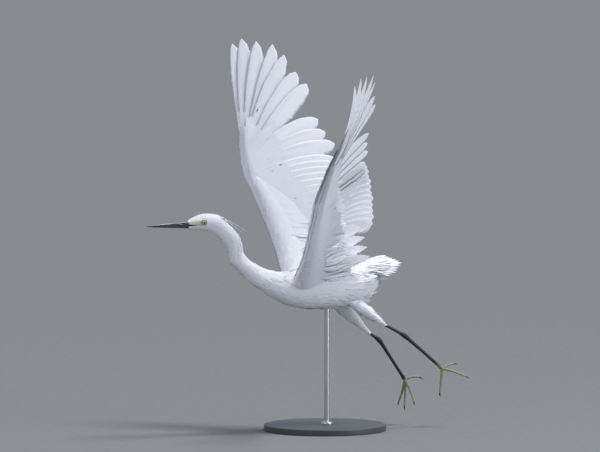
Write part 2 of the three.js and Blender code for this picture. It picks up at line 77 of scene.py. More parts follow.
class Nodes:
    """A material's node tree, with short calls to add and join nodes."""

    def __init__(self, name):
        self.material = bpy.data.materials.new(name)
        self.material.use_nodes = True
        self.tree = self.material.node_tree
        self.shader = self.tree.nodes["Principled BSDF"]

    def add(self, kind, settings=None, **inputs):
        node = self.tree.nodes.new(kind)
        for key, value in (settings or {}).items():
            setattr(node, key, value)
        for key, value in inputs.items():
            self.feed(node, key.replace("_", " "), value)
        return node

    def feed(self, node, socket, value):
        target = node.inputs[int(socket)] if socket.isdigit() else node.inputs[socket]
        if isinstance(value, bpy.types.NodeSocket):
            self.tree.links.new(value, target)
        else:
            target.default_value = value

    def set(self, **inputs):
        for key, value in inputs.items():
            self.feed(self.shader, key.replace("_", " "), value)

    def noise(self, coords, scale, detail=3.0, roughness=0.5):
        inputs = {"Vector": coords, "Scale": scale, "Detail": detail, "Roughness": roughness}
        return self.add("ShaderNodeTexNoise", **inputs).outputs["Fac"]

    def stretched(self, coords, scale):
        return self.add("ShaderNodeMapping", Vector=coords, Scale=scale).outputs[0]

    def ramp(self, factor, stops):
        node = self.add("ShaderNodeValToRGB", Fac=factor)
        ramp = node.color_ramp
        while len(ramp.elements) < len(stops):
            ramp.elements.new(0.5)
        for element, (place, colour) in zip(ramp.elements, stops):
            element.position = place
            element.color = (*colour, 1)
        return node.outputs["Color"]

    def math(self, operation, a, b=0.5):
        node = self.add("ShaderNodeMath", {"operation": operation})
        self.feed(node, "0", a)
        self.feed(node, "1", b)
        return node.outputs[0]

    def mix(self, factor, a, b, blend="MIX"):
        node = self.add("ShaderNodeMix", {"data_type": "RGBA", "blend_type": blend})
        self.feed(node, "0", factor)
        self.feed(node, "6", a)
        self.feed(node, "7", b)
        return node.outputs[2]

    def bump(self, height, strength, distance):
        node = self.add("ShaderNodeBump", Height=height, Strength=strength, Distance=distance)
        self.set(Normal=node.outputs[0])

    def place(self):
        return self.add("ShaderNodeTexCoord").outputs["Object"]


def rgba(r, g, b):
    return (r, g, b, 1)


def feather_material(name, base, shade, barb_scale, translucent):
    """White feather: fine barbs slant from the shaft, and its white is blotched at random with a bluish
    painted shade.
    """
    n = Nodes(name)
    uv = n.add("ShaderNodeUVMap", {"uv_map": "vane"}).outputs[0]
    split = n.add("ShaderNodeSeparateXYZ", Vector=uv)
    across, along = split.outputs[0], split.outputs[1]
    slant = n.math("ADD", n.math("MULTIPLY", n.math("ABSOLUTE", across), -0.6), along)
    wave = n.math("SINE", n.math("MULTIPLY", slant, barb_scale), 0)
    soft = n.noise(n.stretched(n.place(), (60, 60, 60)), 3.0, 4)
    streaks = n.noise(n.stretched(uv, (3.0, 40.0, 1.0)), 1.0, 3)
    tone = n.math("MULTIPLY_ADD", streaks, 0.25)
    # Painted shade: streaks and noise mix the bluish shade colour into the white.
    shaded = n.ramp(n.math("ADD", tone, n.math("MULTIPLY", soft, 0.6)), [(0.3, shade), (0.62, base)])
    n.set(Base_Color=shaded, Roughness=0.62, Specular_IOR_Level=0.25)
    n.set(Subsurface_Weight=translucent, Subsurface_Radius=(1.0, 1.0, 1.0), Subsurface_Scale=0.004)
    n.bump(n.math("MULTIPLY_ADD", wave, 0.5), 0.25, 0.0004)
    return n.material


def bill_material():
    n = Nodes("bill_horn_skin")
    place = n.place()
    grain = n.noise(n.stretched(place, (40, 300, 300)), 2.0, 5)
    wear = n.noise(n.stretched(place, (30, 60, 60)), 1.0, 3)
    horn = [(0.3, (0.012, 0.013, 0.017)), (0.55, (0.035, 0.042, 0.055)), (0.8, (0.08, 0.095, 0.12))]
    colour = n.ramp(grain, horn)
    n.set(Base_Color=colour, Roughness=0.32, Specular_IOR_Level=0.6)
    n.set(Coat_Weight=n.math("MULTIPLY", wear, 0.8), Coat_Roughness=0.2)
    n.bump(grain, 0.25, 0.0004)
    return n.material


def leg_material():
    """Black scaly shank that turns olive yellow towards the toes, by height along the leg."""
    n = Nodes("leg_scale_skin")
    uv = n.add("ShaderNodeUVMap", {"uv_map": "scale"}).outputs[0]
    down = n.add("ShaderNodeSeparateXYZ", Vector=uv).outputs[1]
    blotch = n.noise(n.stretched(n.place(), (120, 120, 120)), 2.0, 4)
    place = n.math("ADD", down, n.math("MULTIPLY", n.math("SUBTRACT", blotch, 0.5), 0.16))
    colour = n.ramp(
        place,
        [
            (0.0, (0.030, 0.036, 0.048)),
            (0.2, (0.012, 0.014, 0.019)),
            (0.52, (0.014, 0.016, 0.020)),
            (0.66, (0.10, 0.10, 0.07)),
            (0.80, (0.26, 0.255, 0.165)),
            (1.0, (0.32, 0.295, 0.17)),
        ],
    )
    cells = n.add("ShaderNodeTexVoronoi", {"feature": "DISTANCE_TO_EDGE"}, Vector=n.place(), Scale=520.0)
    edge = n.math("MINIMUM", cells.outputs["Distance"], 0.12)
    darker = n.mix(n.math("SUBTRACT", 0.34, n.math("MULTIPLY", edge, 2.8)), colour, rgba(0.02, 0.02, 0.012))
    n.set(Base_Color=darker, Roughness=0.38, Specular_IOR_Level=0.35)
    n.bump(edge, 0.7, 0.0012)
    return n.material


def claw_material():
    n = Nodes("claw_horn_skin")
    grain = n.noise(n.stretched(n.place(), (200, 200, 60)), 2.0, 4)
    colour = n.ramp(grain, [(0.3, (0.012, 0.010, 0.009)), (0.8, (0.06, 0.05, 0.04))])
    n.set(Base_Color=colour, Roughness=0.35)
    n.bump(grain, 0.2, 0.0002)
    return n.material


EYE = {"x": -260.6, "y": 9.4, "z": 410.2, "radius": 5.2}
# The bare lore: from the bill to the eye, its upper edge rising backwards. Along its foot runs the gape,
# the mouth's line, where the shade in its groove is painted as a black line.
LORE = {"front": -291.0, "back": -262.5, "low": 406.0, "high": 410.6, "rise": 0.11}
GAPE_SHADE = {"z": 405.0, "back": -271.0, "slope": 0.105}


def skin_material():
    """Pale skin under the feathers, bare and greenish yellow from the bill to round the eye."""
    n = Nodes("body_skin")
    place = n.place()
    split = n.add("ShaderNodeSeparateXYZ", Vector=place)
    x, z = split.outputs[0], split.outputs[2]
    fine = n.noise(place, 900.0, 4)
    white = n.ramp(fine, [(0.35, (0.72, 0.75, 0.80)), (0.65, (0.84, 0.86, 0.90))])
    bare = n.ramp(fine, [(0.3, (0.36, 0.35, 0.22)), (0.5, (0.58, 0.55, 0.36)), (0.75, (0.74, 0.71, 0.52))])
    ahead = n.math("LESS_THAN", x, (EYE["x"] + 6.0) * MM)
    near = n.math("GREATER_THAN", z, (LORE["low"] - 3.0) * MM)
    top = n.math("MULTIPLY_ADD", n.math("SUBTRACT", x, LORE["front"] * MM), LORE["rise"])
    top.node.inputs[2].default_value = (LORE["high"] + 0.8) * MM
    below = n.math("LESS_THAN", z, top)
    skin = n.mix(n.math("MULTIPLY", n.math("MULTIPLY", ahead, near), below), white, bare)
    # Painted shade: a black line along the gape stands in for the shade in the mouth's groove.
    off_line = n.math("ABSOLUTE", n.math("SUBTRACT", z, GAPE_SHADE["z"] * MM))
    half = n.math("MULTIPLY", n.math("SUBTRACT", GAPE_SHADE["back"] * MM, x), GAPE_SHADE["slope"])
    gape = n.math("LESS_THAN", off_line, half)
    n.set(Base_Color=n.mix(gape, skin, rgba(0.018, 0.02, 0.024)), Roughness=0.5, Specular_IOR_Level=0.3)
    n.bump(fine, 0.3, 0.0005)
    return n.material


def lid_material():
    n = Nodes("lid_skin")
    fine = n.noise(n.place(), 1200.0, 4)
    n.set(Base_Color=n.ramp(fine, [(0.3, (0.07, 0.085, 0.10)), (0.7, (0.16, 0.18, 0.20))]), Roughness=0.5)
    n.bump(fine, 0.3, 0.0003)
    return n.material


def iris_material():
    """Black pupil in a pale yellow-grey iris with a dark rim, round the eye's own sideways axis."""
    n = Nodes("eye_iris")
    split = n.add("ShaderNodeSeparateXYZ", Vector=n.place())
    dx = n.math("SUBTRACT", split.outputs[0], EYE["x"] * MM)
    dz = n.math("SUBTRACT", split.outputs[2], EYE["z"] * MM)
    reach = n.math("SQRT", n.math("ADD", n.math("MULTIPLY", dx, dx), n.math("MULTIPLY", dz, dz)), 0)
    rays = n.noise(n.place(), 700.0, 3)
    ring = n.math("ADD", n.math("DIVIDE", reach, EYE["radius"] * MM), n.math("MULTIPLY", rays, 0.05))
    colour = n.ramp(
        ring,
        [
            (0.0, (0.003, 0.003, 0.003)),
            (0.48, (0.003, 0.003, 0.003)),
            (0.52, (0.55, 0.52, 0.30)),
            (0.74, (0.66, 0.64, 0.42)),
            (0.86, (0.05, 0.05, 0.05)),
        ],
    )
    n.set(Base_Color=colour, Roughness=0.12, Coat_Weight=1.0, Coat_Roughness=0.03)
    n.bump(rays, 0.1, 0.0002)
    return n.material


def stand_material(name, low, high, roughness, metallic):
    """Satin paint, or steel with fine brushed lines along it where metallic is 1."""
    n = Nodes(name)
    place = n.place()
    if metallic:
        brushed = n.noise(n.stretched(place, (900, 900, 30)), 1.0, 4)
    else:
        brushed = n.noise(place, 900.0, 4)
    n.set(Base_Color=n.ramp(brushed, [(0.3, low), (0.7, high)]), Roughness=roughness, Metallic=metallic)
    n.bump(brushed, 0.12, 0.0002)
    return n.material


def floor_material():
    n = Nodes("floor_paper")
    grain = n.noise(n.place(), 60.0, 3)
    colour = n.ramp(grain, [(0.3, (0.19, 0.195, 0.20)), (0.7, (0.205, 0.21, 0.215))])
    n.set(Base_Color=colour, Roughness=1.0, Specular_IOR_Level=0.0)
    return n.material


# The second colour of each feather is a bluish painted shade, not a colour of the white plumage.
FLIGHT_FEATHER = feather_material("flight_feather", (0.94, 0.95, 0.98), (0.84, 0.87, 0.94), 420.0, 0.25)
COVERT_FEATHER = feather_material("covert_feather", (0.89, 0.91, 0.95), (0.80, 0.83, 0.90), 160.0, 0.15)
BODY_FEATHER = feather_material("body_feather", (0.87, 0.88, 0.91), (0.70, 0.74, 0.83), 60.0, 0.15)
SKIN = skin_material()
BILL = bill_material()
LEG = leg_material()
CLAW = claw_material()
IRIS = iris_material()
LID_SKIN = lid_material()


# Meshes

def put(name, data):
    piece = bpy.data.objects.new(name, data)
    bpy.context.scene.collection.objects.link(piece)
    return piece


def make(name, vertices, faces, material, body="root", uvs=None, replaced=()):
    """One smooth mesh object in metres, riding on its body. uvs has a pair for each vertex."""
    mesh = bpy.data.meshes.new(name)
    mesh.from_pydata((np.asarray(vertices) * MM).tolist(), [], faces)
    loops = np.empty(len(mesh.loops), int)
    mesh.loops.foreach_get("vertex_index", loops)
    for map_name, pairs in (uvs or {}).items():
        layer = mesh.uv_layers.new(name=map_name)
        layer.data.foreach_set("uv", np.asarray(pairs, np.float32)[loops].ravel())
    mesh.polygons.foreach_set("use_smooth", np.ones(len(mesh.polygons), bool))
    mesh.materials.append(material)
    piece = put(name, mesh)
    if body:
        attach(piece, body)
    if replaced:
        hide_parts(*replaced)
    return piece


def loft_faces(rows, around):
    """Quads between rings of points, and a face over each end."""
    faces = []
    for row in range(rows - 1):
        for k in range(around):
            a = row * around + k
            b = row * around + (k + 1) % around
            faces.append((a, b, b + around, a + around))
    faces.append(tuple(reversed(range(around))))
    faces.append(tuple((rows - 1) * around + k for k in range(around)))
    return faces


def loft(rings):
    rings = np.asarray(rings)
    return rings.reshape(-1, 3), loft_faces(rings.shape[0], rings.shape[1])


def joined(parts):
    """Several parts of points and faces as one."""
    vertices, faces, count = [], [], 0
    for points, made in parts:
        vertices.append(points)
        faces.extend([tuple(i + count for i in face) for face in made])
        count += len(points)
    return np.concatenate(vertices), faces


def blend(rows, t):
    """Values between the rows of a table, on a smooth curve through them."""
    rows = np.asarray(rows, float)
    i = int(min(max(math.floor(t), 0), len(rows) - 2))
    f = t - i
    before, after = rows[max(i - 1, 0)], rows[min(i + 2, len(rows) - 1)]
    a, b = rows[i], rows[i + 1]
    m0, m1 = (b - before) / 2, (after - a) / 2
    return (
        (2 * f**3 - 3 * f**2 + 1) * a
        + (f**3 - 2 * f**2 + f) * m0
        + (3 * f**2 - 2 * f**3) * b
        + (f**3 - f**2) * m1
    )


def tube_rings(centres, radii, around=16, ridges=None):
    """Rings round a line of centres. ridges scales each ring's front half, for scutes."""
    centres = np.asarray(centres, float)
    rings = []
    for i, (centre, radius) in enumerate(zip(centres, radii)):
        along = unit(centres[min(i + 1, len(centres) - 1)] - centres[max(i - 1, 0)])
        side = unit(np.cross((0, 1, 0), along))
        up = np.cross(along, side)
        turn = 2 * math.pi * np.arange(around) / around
        scale = np.full(around, radius)
        if ridges is not None:
            scale = scale * (1 + ridges[i] * np.clip(-np.cos(turn), 0, 1))
        rings.append(centre + np.outer(scale * np.cos(turn), side) + np.outer(scale * np.sin(turn), up))
    return rings


# The body's run of sections from the bill to the vent, as in the solids:
# dorsal x, dorsal z, ventral x, ventral z, half width.
SECTIONS = [
    (-290.0, 413.6, -290.0, 398.4, 6.6),
    (-277.0, 420.6, -277.0, 395.8, 10.2),
    (-260.0, 426.4, -262.0, 394.2, 13.4),
    (-243.0, 426.9, -249.0, 391.4, 15.2),
    (-228.5, 424.2, -238.6, 386.2, 15.2),
    (-217.0, 418.0, -229.5, 379.8, 14.6),
    (-206.0, 408.6, -221.0, 372.0, 14.0),
    (-195.0, 398.8, -213.5, 363.6, 13.6),
    (-184.0, 387.4, -208.2, 355.4, 13.4),
    (-175.6, 370.0, -205.2, 345.2, 13.8),
    (-170.2, 350.4, -200.4, 330.4, 15.0),
    (-158.6, 336.4, -188.0, 315.2, 16.6),
    (-133.0, 322.4, -161.0, 288.8, 19.0),
    (-108.0, 314.4, -137.0, 272.6, 23.0),
    (-88.0, 312.6, -108.0, 254.0, 28.0),
    (-62.0, 316.4, -78.0, 240.6, 35.0),
    (-30.0, 320.0, -42.0, 233.6, 40.0),
    (5.0, 322.6, 0.0, 232.4, 42.0),
    (40.0, 323.6, 38.0, 235.2, 41.0),
    (66.0, 322.6, 68.0, 238.6, 36.0),
    (86.0, 319.0, 88.0, 246.6, 28.0),
    (97.0, 311.0, 101.0, 262.0, 19.0),
    (102.0, 300.0, 107.0, 278.0, 9.0),
]
LAST_SECTION = len(SECTIONS) - 1
HEAD_END = 5.6


def coat_depth(t):
    """How far the skin lies under the solids' outline: thin on the head, thick on the breast."""
    return float(np.interp(t, (0, 2, 6, 12, 17, LAST_SECTION), (0.3, 1.2, 2.2, 3.4, 5.0, 4.0)))


def body_point(t, turn, inset=0.0):
    """A point of the body's outline, turn 0 along the back and half a turn along the belly."""
    dorsal_x, dorsal_z, ventral_x, ventral_z, half_width = blend(SECTIONS, t)
    centre = vec((dorsal_x + ventral_x) / 2, 0, (dorsal_z + ventral_z) / 2)
    up = vec(dorsal_x - ventral_x, 0, dorsal_z - ventral_z) / 2
    depth = np.linalg.norm(up)
    up = up / depth
    return centre + up * math.cos(turn) * (depth - inset) + vec(0, (half_width - inset) * math.sin(turn), 0)


def past_quill(shares, widths):
    """Outline of a flight feather: its bare quill, then the vane with the given widths."""
    return [0, 0.04, 0.1, 0.3, *shares], [0.06, 0.07, 0.4, 0.85, *widths]


# Outlines of the kinds of feather: shares of the length, and of the full width there.
ROUNDED = past_quill([0.6, 0.8, 0.9, 0.96, 1], [1, 0.97, 0.8, 0.55, 0.08])
POINTED = past_quill([0.6, 0.74, 0.86, 0.95, 1], [1, 0.93, 0.72, 0.44, 0.05])
NARROWING = past_quill([0.5, 0.62, 0.8, 0.92, 1], [1, 0.82, 0.56, 0.34, 0.04])
LOOSE = ([0, 0.1, 0.4, 0.7, 0.88, 1], [0.1, 0.5, 1, 0.85, 0.45, 0.04])
COVERT = ([0, 0.15, 0.5, 0.8, 0.93, 1], [0.4, 0.7, 1, 0.9, 0.6, 0.08])
TUFT = ([0, 0.2, 0.55, 0.8, 1], [0.5, 0.85, 1, 0.7, 0.04])
STRAP = ([0, 0.3, 0.7, 0.9, 1], [0.8, 1, 0.8, 0.45, 0.03])

# The wings, worked out as right wings and mirrored for the left, as in the solids.
# slimmer and hand_forward shape the flesh, axillaries counts loose feathers under the shoulder, ragged is
# how torn the primaries' edges are, covert_soft how smoothly the long coverts shade, and twist how far the
# secondaries turn towards the body. secondary and tertial give lengths from the wrist inwards.
WINGS = {
    "right": {
        "mirror": 1,
        "shoulder": vec(-62, 30, 302),
        "wrist": vec(-90.7, 148.1, 481.2),
        "span": unit(vec(0.106, 0.341, 0.934)),
        "chord": unit(vec(0.888, -0.456, 0.065)),
        "slimmer": 7,
        "hand_forward": 1.0,
        "axillaries": 0,
        "primary_tilt": 4,
        "primary_width": 1.42,
        "tips": POINTED,
        "ragged": 0.12,
        "covert_soft": 0.8,
        "twist": 0.5,
        "secondary": lambda u: 170 - 16 * u,
        "tertial": lambda u: 118 - 14 * u,
    },
    "left": {
        "mirror": -1,
        "shoulder": vec(-60, 30, 292),
        "wrist": vec(-92.3, 165.9, 448.9),
        "span": unit(vec(0.079, 0.503, 0.861)),
        "chord": unit(vec(0.784, -0.565, 0.258)),
        "slimmer": 0,
        "hand_forward": 0.0,
        "axillaries": 26,
        "primary_tilt": 9,
        "primary_width": 1.0,
        "tips": NARROWING,
        "ragged": 0.02,
        "covert_soft": 0.0,
        "twist": 0.6,
        "secondary": lambda u: 174 + 15 * math.sin(math.pi * u) - 26 * u * u,
        "tertial": lambda u: 112 - 20 * u,
    },
}
ROOT_CHORD = unit(vec(0.985, 0.02, 0.08))
# Primaries from the outermost inwards: root on the hand, length, angle, width, height in the stack.
PRIMARIES = [
    (92, 185, -7.4, 24, -2.4),
    (86, 198, -1.5, 27, -1.3),
    (76, 207, 6.5, 28, -0.2),
    (67, 210, 15, 29, 0.8),
    (58, 204, 22, 29, 1.6),
    (49, 190, 31, 29, 2.1),
    (40, 184, 39, 28, 2.4),
    (30, 159, 59, 28, 2.4),
    (20, 163, 66.5, 28, 2.3),
    (10, 171, 73.5, 28, 2.2),
]
SECONDARY_COUNT = 12
TERTIAL_COUNT = 4
HAND_LENGTH = 98
REAR_TAPER = 0.6
ELBOW_SET_BACK = 46
# The outermost primaries' roots move forward on a spread hand, by less for each one inwards.
SPREAD_FORWARD = 12
SPREAD_STEP = 2.5
SECONDARY_WIDTH = 29
TERTIAL_WIDTH = 30
LEAD_SHARE = 0.38
# The secondaries and tertials, against the solids' simpler ones: width, and turn about the shaft.
INNER_WIDTH = 1.25
INNER_TILT = 5
# Share of the way (0 shoulder, 1 wrist, 2 end of the hand), reach ahead, reach behind, thickness.
CORE_SECTIONS = [
    (-0.16, 24, 60, 26),
    (0.06, 22, 62, 24),
    (0.28, 14, 62, 20),
    (0.52, 11, 58, 18),
    (0.76, 10, 43, 16),
    (1.0, 9, 23, 14),
    (1.34, 9, 18, 11),
    (1.68, 8, 13, 8),
    (2.0, 5, 8, 3.5),
]


class Wing:
    def __init__(self, pose):
        self.pose = pose
        self.mirror = pose["mirror"]
        self.arm = pose["wrist"] - pose["shoulder"]

    def chord_at(self, share):
        t = min(max(share, 0), 1)
        return unit(ROOT_CHORD + (self.pose["chord"] - ROOT_CHORD) * t * (2 - t))

    def span_at(self, share):
        t = min(max(0, share - 0.6) / 0.8, 1)
        arm = unit(self.arm)
        return unit(arm + (self.pose["span"] - arm) * t)

    def axis(self, share):
        """Centre line, span, chord and upward directions at a share of the way out."""
        if share <= 1:
            centre = self.pose["shoulder"] + self.arm * share
            span, chord = self.span_at(share), self.chord_at(share)
        else:
            centre = self.pose["wrist"] + self.pose["span"] * HAND_LENGTH * (share - 1)
            span, chord = self.pose["span"], self.pose["chord"]
        return centre, span, chord, unit(np.cross(chord, span))

    def core(self, share):
        """Reach ahead and behind the centre line and the thickness."""
        table = np.array(CORE_SECTIONS)
        ahead, behind, thick = (np.interp(share, table[:, 0], table[:, k]) for k in (1, 2, 3))
        if share < 1:
            ahead -= self.pose["slimmer"] * (1 - share)
        further = float(np.interp(share, (0.85, 1.3, 1.7, 2.0), (0, 8, 11, 12)))
        ahead += self.pose["hand_forward"] * further
        return ahead, behind, thick

    def surface(self, share, back, side):
        """A point on the core's upper or lower face, back from 0 at the leading edge to 1 behind."""
        centre, _, chord, up = self.axis(share)
        ahead, behind, thick = self.core(share)
        x = 2 * back - 1
        height = thick / 2 * math.sqrt(max(0.0, 1 - x * x)) * (1 - REAR_TAPER * x)
        return centre + chord * (-ahead + (ahead + behind) * back) + up * side * height

    def normal(self, share, back, side):
        """Which way the core's surface faces there, rounding over the leading edge."""
        _, _, chord, up = self.axis(share)
        ahead, behind, thick = self.core(share)
        foremost = float(np.interp(share, (0.7, 1.1), (-1, -0.6)))
        x = min(max(2 * back - 1, foremost), 0.5)
        return unit(chord * x * thick / (ahead + behind) + up * side * math.sqrt(1 - x * x))

    def elbow(self):
        return self.pose["shoulder"] + self.arm * 0.5 + self.chord_at(0.5) * ELBOW_SET_BACK

    def core_rings(self, inset):
        rings = []
        for share in np.linspace(-0.1, 2.0, 24):
            centre, _, chord, up = self.axis(share)
            ahead, behind, thick = self.core(share)
            turn = 2 * math.pi * np.arange(24) / 24
            reach = (ahead + behind) / 2 - inset
            middle = centre + chord * (behind - ahead) / 2
            height = (thick / 2 - inset) * np.sin(turn) * (1 - REAR_TAPER * np.cos(turn))
            rings.append(middle + np.outer(reach * np.cos(turn), chord) + np.outer(height, up))
        return [ring * (1, self.mirror, 1) for ring in rings]

    def flight(self):
        """Every flight feather in order from the outermost primary to the innermost tertial."""
        rows = []
        pose = self.pose
        for i, (at, length, angle, width, lift) in enumerate(PRIMARIES):
            forward = pose["hand_forward"] * max(0.0, SPREAD_FORWARD - SPREAD_STEP * i)
            root = pose["wrist"] + pose["span"] * at + pose["chord"] * (1 - forward)
            angle += math.degrees(math.atan2(forward, length))
            bow = 11 if i > 6 else 5 if i > 3 else -2
            rows.append(self.feather(root, pose["span"], pose["chord"], angle, length, width, bow, lift,
                                     arch=min(2 * i - 10, 4), pointed=i < 5, kind="primary"))
        elbow = self.elbow()
        for i in range(SECONDARY_COUNT):
            u = (i + 0.6) / SECONDARY_COUNT
            root = pose["wrist"] + (elbow - pose["wrist"]) * u
            back = self.chord_at(1 - pose["twist"] * u)
            rows.append(self.feather(root, pose["span"], back, 78 + 20 * u, pose["secondary"](u),
                                     SECONDARY_WIDTH, 10 - 6 * u, 2 - 2 * u, kind="secondary"))
        innermost = pose["shoulder"] + self.chord_at(0) * 50 + self.arm * 0.12
        for i in range(TERTIAL_COUNT):
            u = (i + 0.7) / TERTIAL_COUNT
            root = elbow + (innermost - elbow) * u
            rows.append(self.feather(root, self.span_at(0), self.chord_at(0.5 - 0.4 * u), 92 - 6 * u,
                                     pose["tertial"](u), TERTIAL_WIDTH, 0, 0, kind="tertial"))
        return rows

    def feather(self, root, span, chord, angle, length, width, bow, lift, kind, arch=None, pointed=False):
        along = unit(span * math.cos(angle * DEG) + chord * math.sin(angle * DEG))
        up = unit(np.cross(chord, span))
        back = unit(np.cross(up, along))
        if np.dot(back, span) * math.sin(angle * DEG) > 0:
            back = -back
        return {
            "root": root, "along": along, "back": back, "up": up, "length": length, "width": width,
            "bow": bow, "lift": lift, "arch": length * 0.03 if arch is None else arch,
            "pointed": pointed, "kind": kind,
        }


# Feathers

# Size on the bake map of each vane's patch, across and along.
BAKE_PATCH = (0.0015, 0.003)


class Coat:
    """Gathers feathers as closed vanes and makes them into one mesh."""

    def __init__(self):
        self.points, self.faces, self.vane, self.bake, self.normals = [], [], [], [], []
        self.count = 0

    def add(self, feathers, profile, steps, columns, places, ragged, crown, thick, shaft, soft=0.0):
        """feathers is a dict of arrays, one row to a feather, and places are their roots on the bake map.

        Each vane has columns of points over its upper face and the same under it, joined at the edges.
        soft is how far its shading follows the surface that it lies on, or 0 for its own shape alone.
        """
        table = {key: np.asarray(value, float) for key, value in feathers.items()}
        total = len(table["root"])
        for key in ("start", "bow", "arch", "lift", "raise", "tilt", "curl"):
            table.setdefault(key, np.zeros(total))
        table.setdefault("full", table["length"])
        back, up = table["back"], table["up"]
        c, s = np.cos(table["tilt"] * DEG)[:, None], np.sin(table["tilt"] * DEG)[:, None]
        across, above = back * c - up * s, up * c + back * s
        turned = np.einsum("ij,ij->i", np.cross(table["along"], across), above) > 0
        across = np.where(turned[:, None], -across, across)
        lead = np.where(turned, table["trail"], table["lead"])
        trail = np.where(turned, table["lead"], table["trail"])

        step = 1 - (1 - np.linspace(0, 1, steps)) ** 1.25
        place = np.linspace(-1, 1, columns)
        place = np.sign(place) * np.abs(place) ** 1.3
        wide = np.interp(step, *profile)[None, :, None]
        torn = ragged * rng.random((total, steps, 2)) * np.clip(step * 1.6 - 0.3, 0, 1)[None, :, None]
        leading = lead[:, None, None] * (1 - torn)[..., :1]
        trailing = trail[:, None, None] * (1 - torn)[..., 1:]
        offset = place * np.where(place[None, None] < 0, leading, trailing) * wide
        dome = (1 - place**2) * crown * (lead + trail)[:, None, None] * wide
        half = thick * np.clip(1.15 - step, 0.25, 1)[None, :, None] * (1 - np.abs(place)) * 0.5
        ridge = np.exp(-((place / 0.12) ** 2)) * shaft * (1 - step[:, None]) ** 0.6
        spread = self.centre_lines(table, step)[:, :, None] + across[:, None, None] * offset[..., None]
        upper = spread + above[:, None, None] * (dome + half + ridge[None])[..., None]
        lower = spread + above[:, None, None] * (dome - half - ridge[None])[..., None]
        ring = np.concatenate([upper, lower[:, :, -2:0:-1]], axis=2)

        normal = np.zeros((total, columns, 3))
        if soft:
            own = above[:, None] + across[:, None] * place[None, :, None] * 4 * crown
            normal = unit(own * (1 - soft) + up[:, None] * soft)
        normal = np.concatenate([normal, -normal[:, -2:0:-1]], axis=1)
        around_place = np.concatenate([place, place[-2:0:-1]])
        vane_map = np.stack(np.broadcast_arrays(around_place[None, :], step[:, None]), -1).reshape(-1, 2)
        self.add_faces(total, steps, ring.shape[2])
        self.points.append(ring.reshape(-1, 3))
        self.normals.append(np.broadcast_to(normal[:, None], ring.shape).reshape(-1, 3))
        self.vane.append(np.tile(vane_map, (total, 1)))
        self.bake.append((places[:, None] + (vane_map * BAKE_PATCH)[None]).reshape(-1, 2))

    @staticmethod
    def centre_lines(table, step):
        """Points along each feather, bent sideways by bow and upwards by arch, lift, raise and curl."""
        reached = table["start"][:, None] + table["length"][:, None] * step
        share = np.clip(reached / table["full"][:, None], 0, 1)
        bend = 4 * (share - share**2)
        height = table["arch"][:, None] * bend + table["lift"][:, None] * (1 - share)
        height = height + table["raise"][:, None] + table["curl"][:, None] * step**2
        ahead = table["along"][:, None] * reached[..., None]
        aside = table["back"][:, None] * (table["bow"][:, None] * bend)[..., None]
        return table["root"][:, None] + ahead - aside + table["up"][:, None] * height[..., None]

    def add_faces(self, total, steps, around):
        """Faces of several vanes. The cap at each end is cut in two, for the upper and the under face."""
        *sides, root_cap, tip_cap = loft_faces(steps, around)
        middle = around // 2
        groups = [sides]
        for cap in (root_cap, tip_cap):
            groups.append([cap[: middle + 1]])
            groups.append([(cap[0], *cap[middle:])])
        starts = self.count + np.arange(total)[:, None, None] * steps * around
        for group in groups:
            made = np.array(group)[None] + starts
            self.faces.extend(made.reshape(-1, made.shape[-1]).tolist())
        self.count += total * steps * around

    def build(self, name, material, nodes=()):
        points = np.concatenate(self.points)
        uvs = {"vane": np.concatenate(self.vane), "OFBake": np.concatenate(self.bake)}
        piece = make(name, points, self.faces, material, uvs=uvs, replaced=nodes)
        piece.data.normals_split_custom_set_from_vertices(np.concatenate(self.normals).tolist())


def stack(rows):
    return {key: np.array([row[key] for row in rows]) for key in rows[0] if key not in ("kind", "pointed")}


def mirrored(feathers, mirror):
    if mirror > 0:
        return feathers
    flipped = dict(feathers)
    for key in ("root", "along", "back", "up"):
        flipped[key] = np.asarray(feathers[key]) * (1, -1, 1)
    return flipped


# Where each region's roots lie on the bake map: lower corner and size.
TILES = {
    "body": (0.01, 0.01, 0.48, 0.48),
    "thigh_right": (0.51, 0.01, 0.22, 0.22),
    "thigh_left": (0.75, 0.01, 0.22, 0.22),
    "tail": (0.51, 0.26, 0.46, 0.22),
    "wing_right_up": (0.01, 0.51, 0.23, 0.47),
    "wing_right_low": (0.26, 0.51, 0.23, 0.47),
    "wing_left_up": (0.51, 0.51, 0.23, 0.47),
    "wing_left_low": (0.76, 0.51, 0.22, 0.47),
}


def patch(tile, u, v):
    """Places on the bake map for shares of the way across and up a tile."""
    x, y, wide, high = TILES[tile]
    u, v = np.broadcast_arrays(u, v)
    return np.stack([x + np.clip(u, 0, 1) * wide, y + np.clip(v, 0, 1) * high], -1)


def vane(root, along, outward, length, half, **more):
    """One small feather that lies along a direction, its upper face outward."""
    return {
        "root": root, "along": along, "back": unit(np.cross(outward, along)), "up": outward,
        "length": length, "lead": half, "trail": half, **more,
    }


def tuft_piece(name, rows, tile, u, v, steps=9, nodes=(), **shape):
    """A piece of narrow tufts, all of one kind."""
    coat = Coat()
    shape = {"ragged": 0.4, "soft": 0.7, **shape}
    coat.add(stack(rows), TUFT, steps, 3, patch(tile, u, v), crown=0.06, thick=0.22, shaft=0.0, **shape)
    coat.build(name, BODY_FEATHER, nodes)


# Rows of long coverts: share of the flight feather, start, height over it, half width, and where they lie
# on the bake map.
LONG_COVERTS = [(0.46, -6, 1.0, 13, 0.85), (0.3, -8, 1.7, 11, 0.75)]
# Rows of the shorter coverts, as shares of the way back across the flesh.
MIDDLE_COVERTS = (0.86, 0.7)
LESSER_COVERTS = np.linspace(0.7, 0.03, 13)
# The steepest that small coverts follow the flesh, near its front and near its rear.
STEEPEST_FRONT = 1.0
STEEPEST_REAR = 0.3


MIDDLE_GAP = 0.026
MIDDLE_END_HEIGHT = 1.6
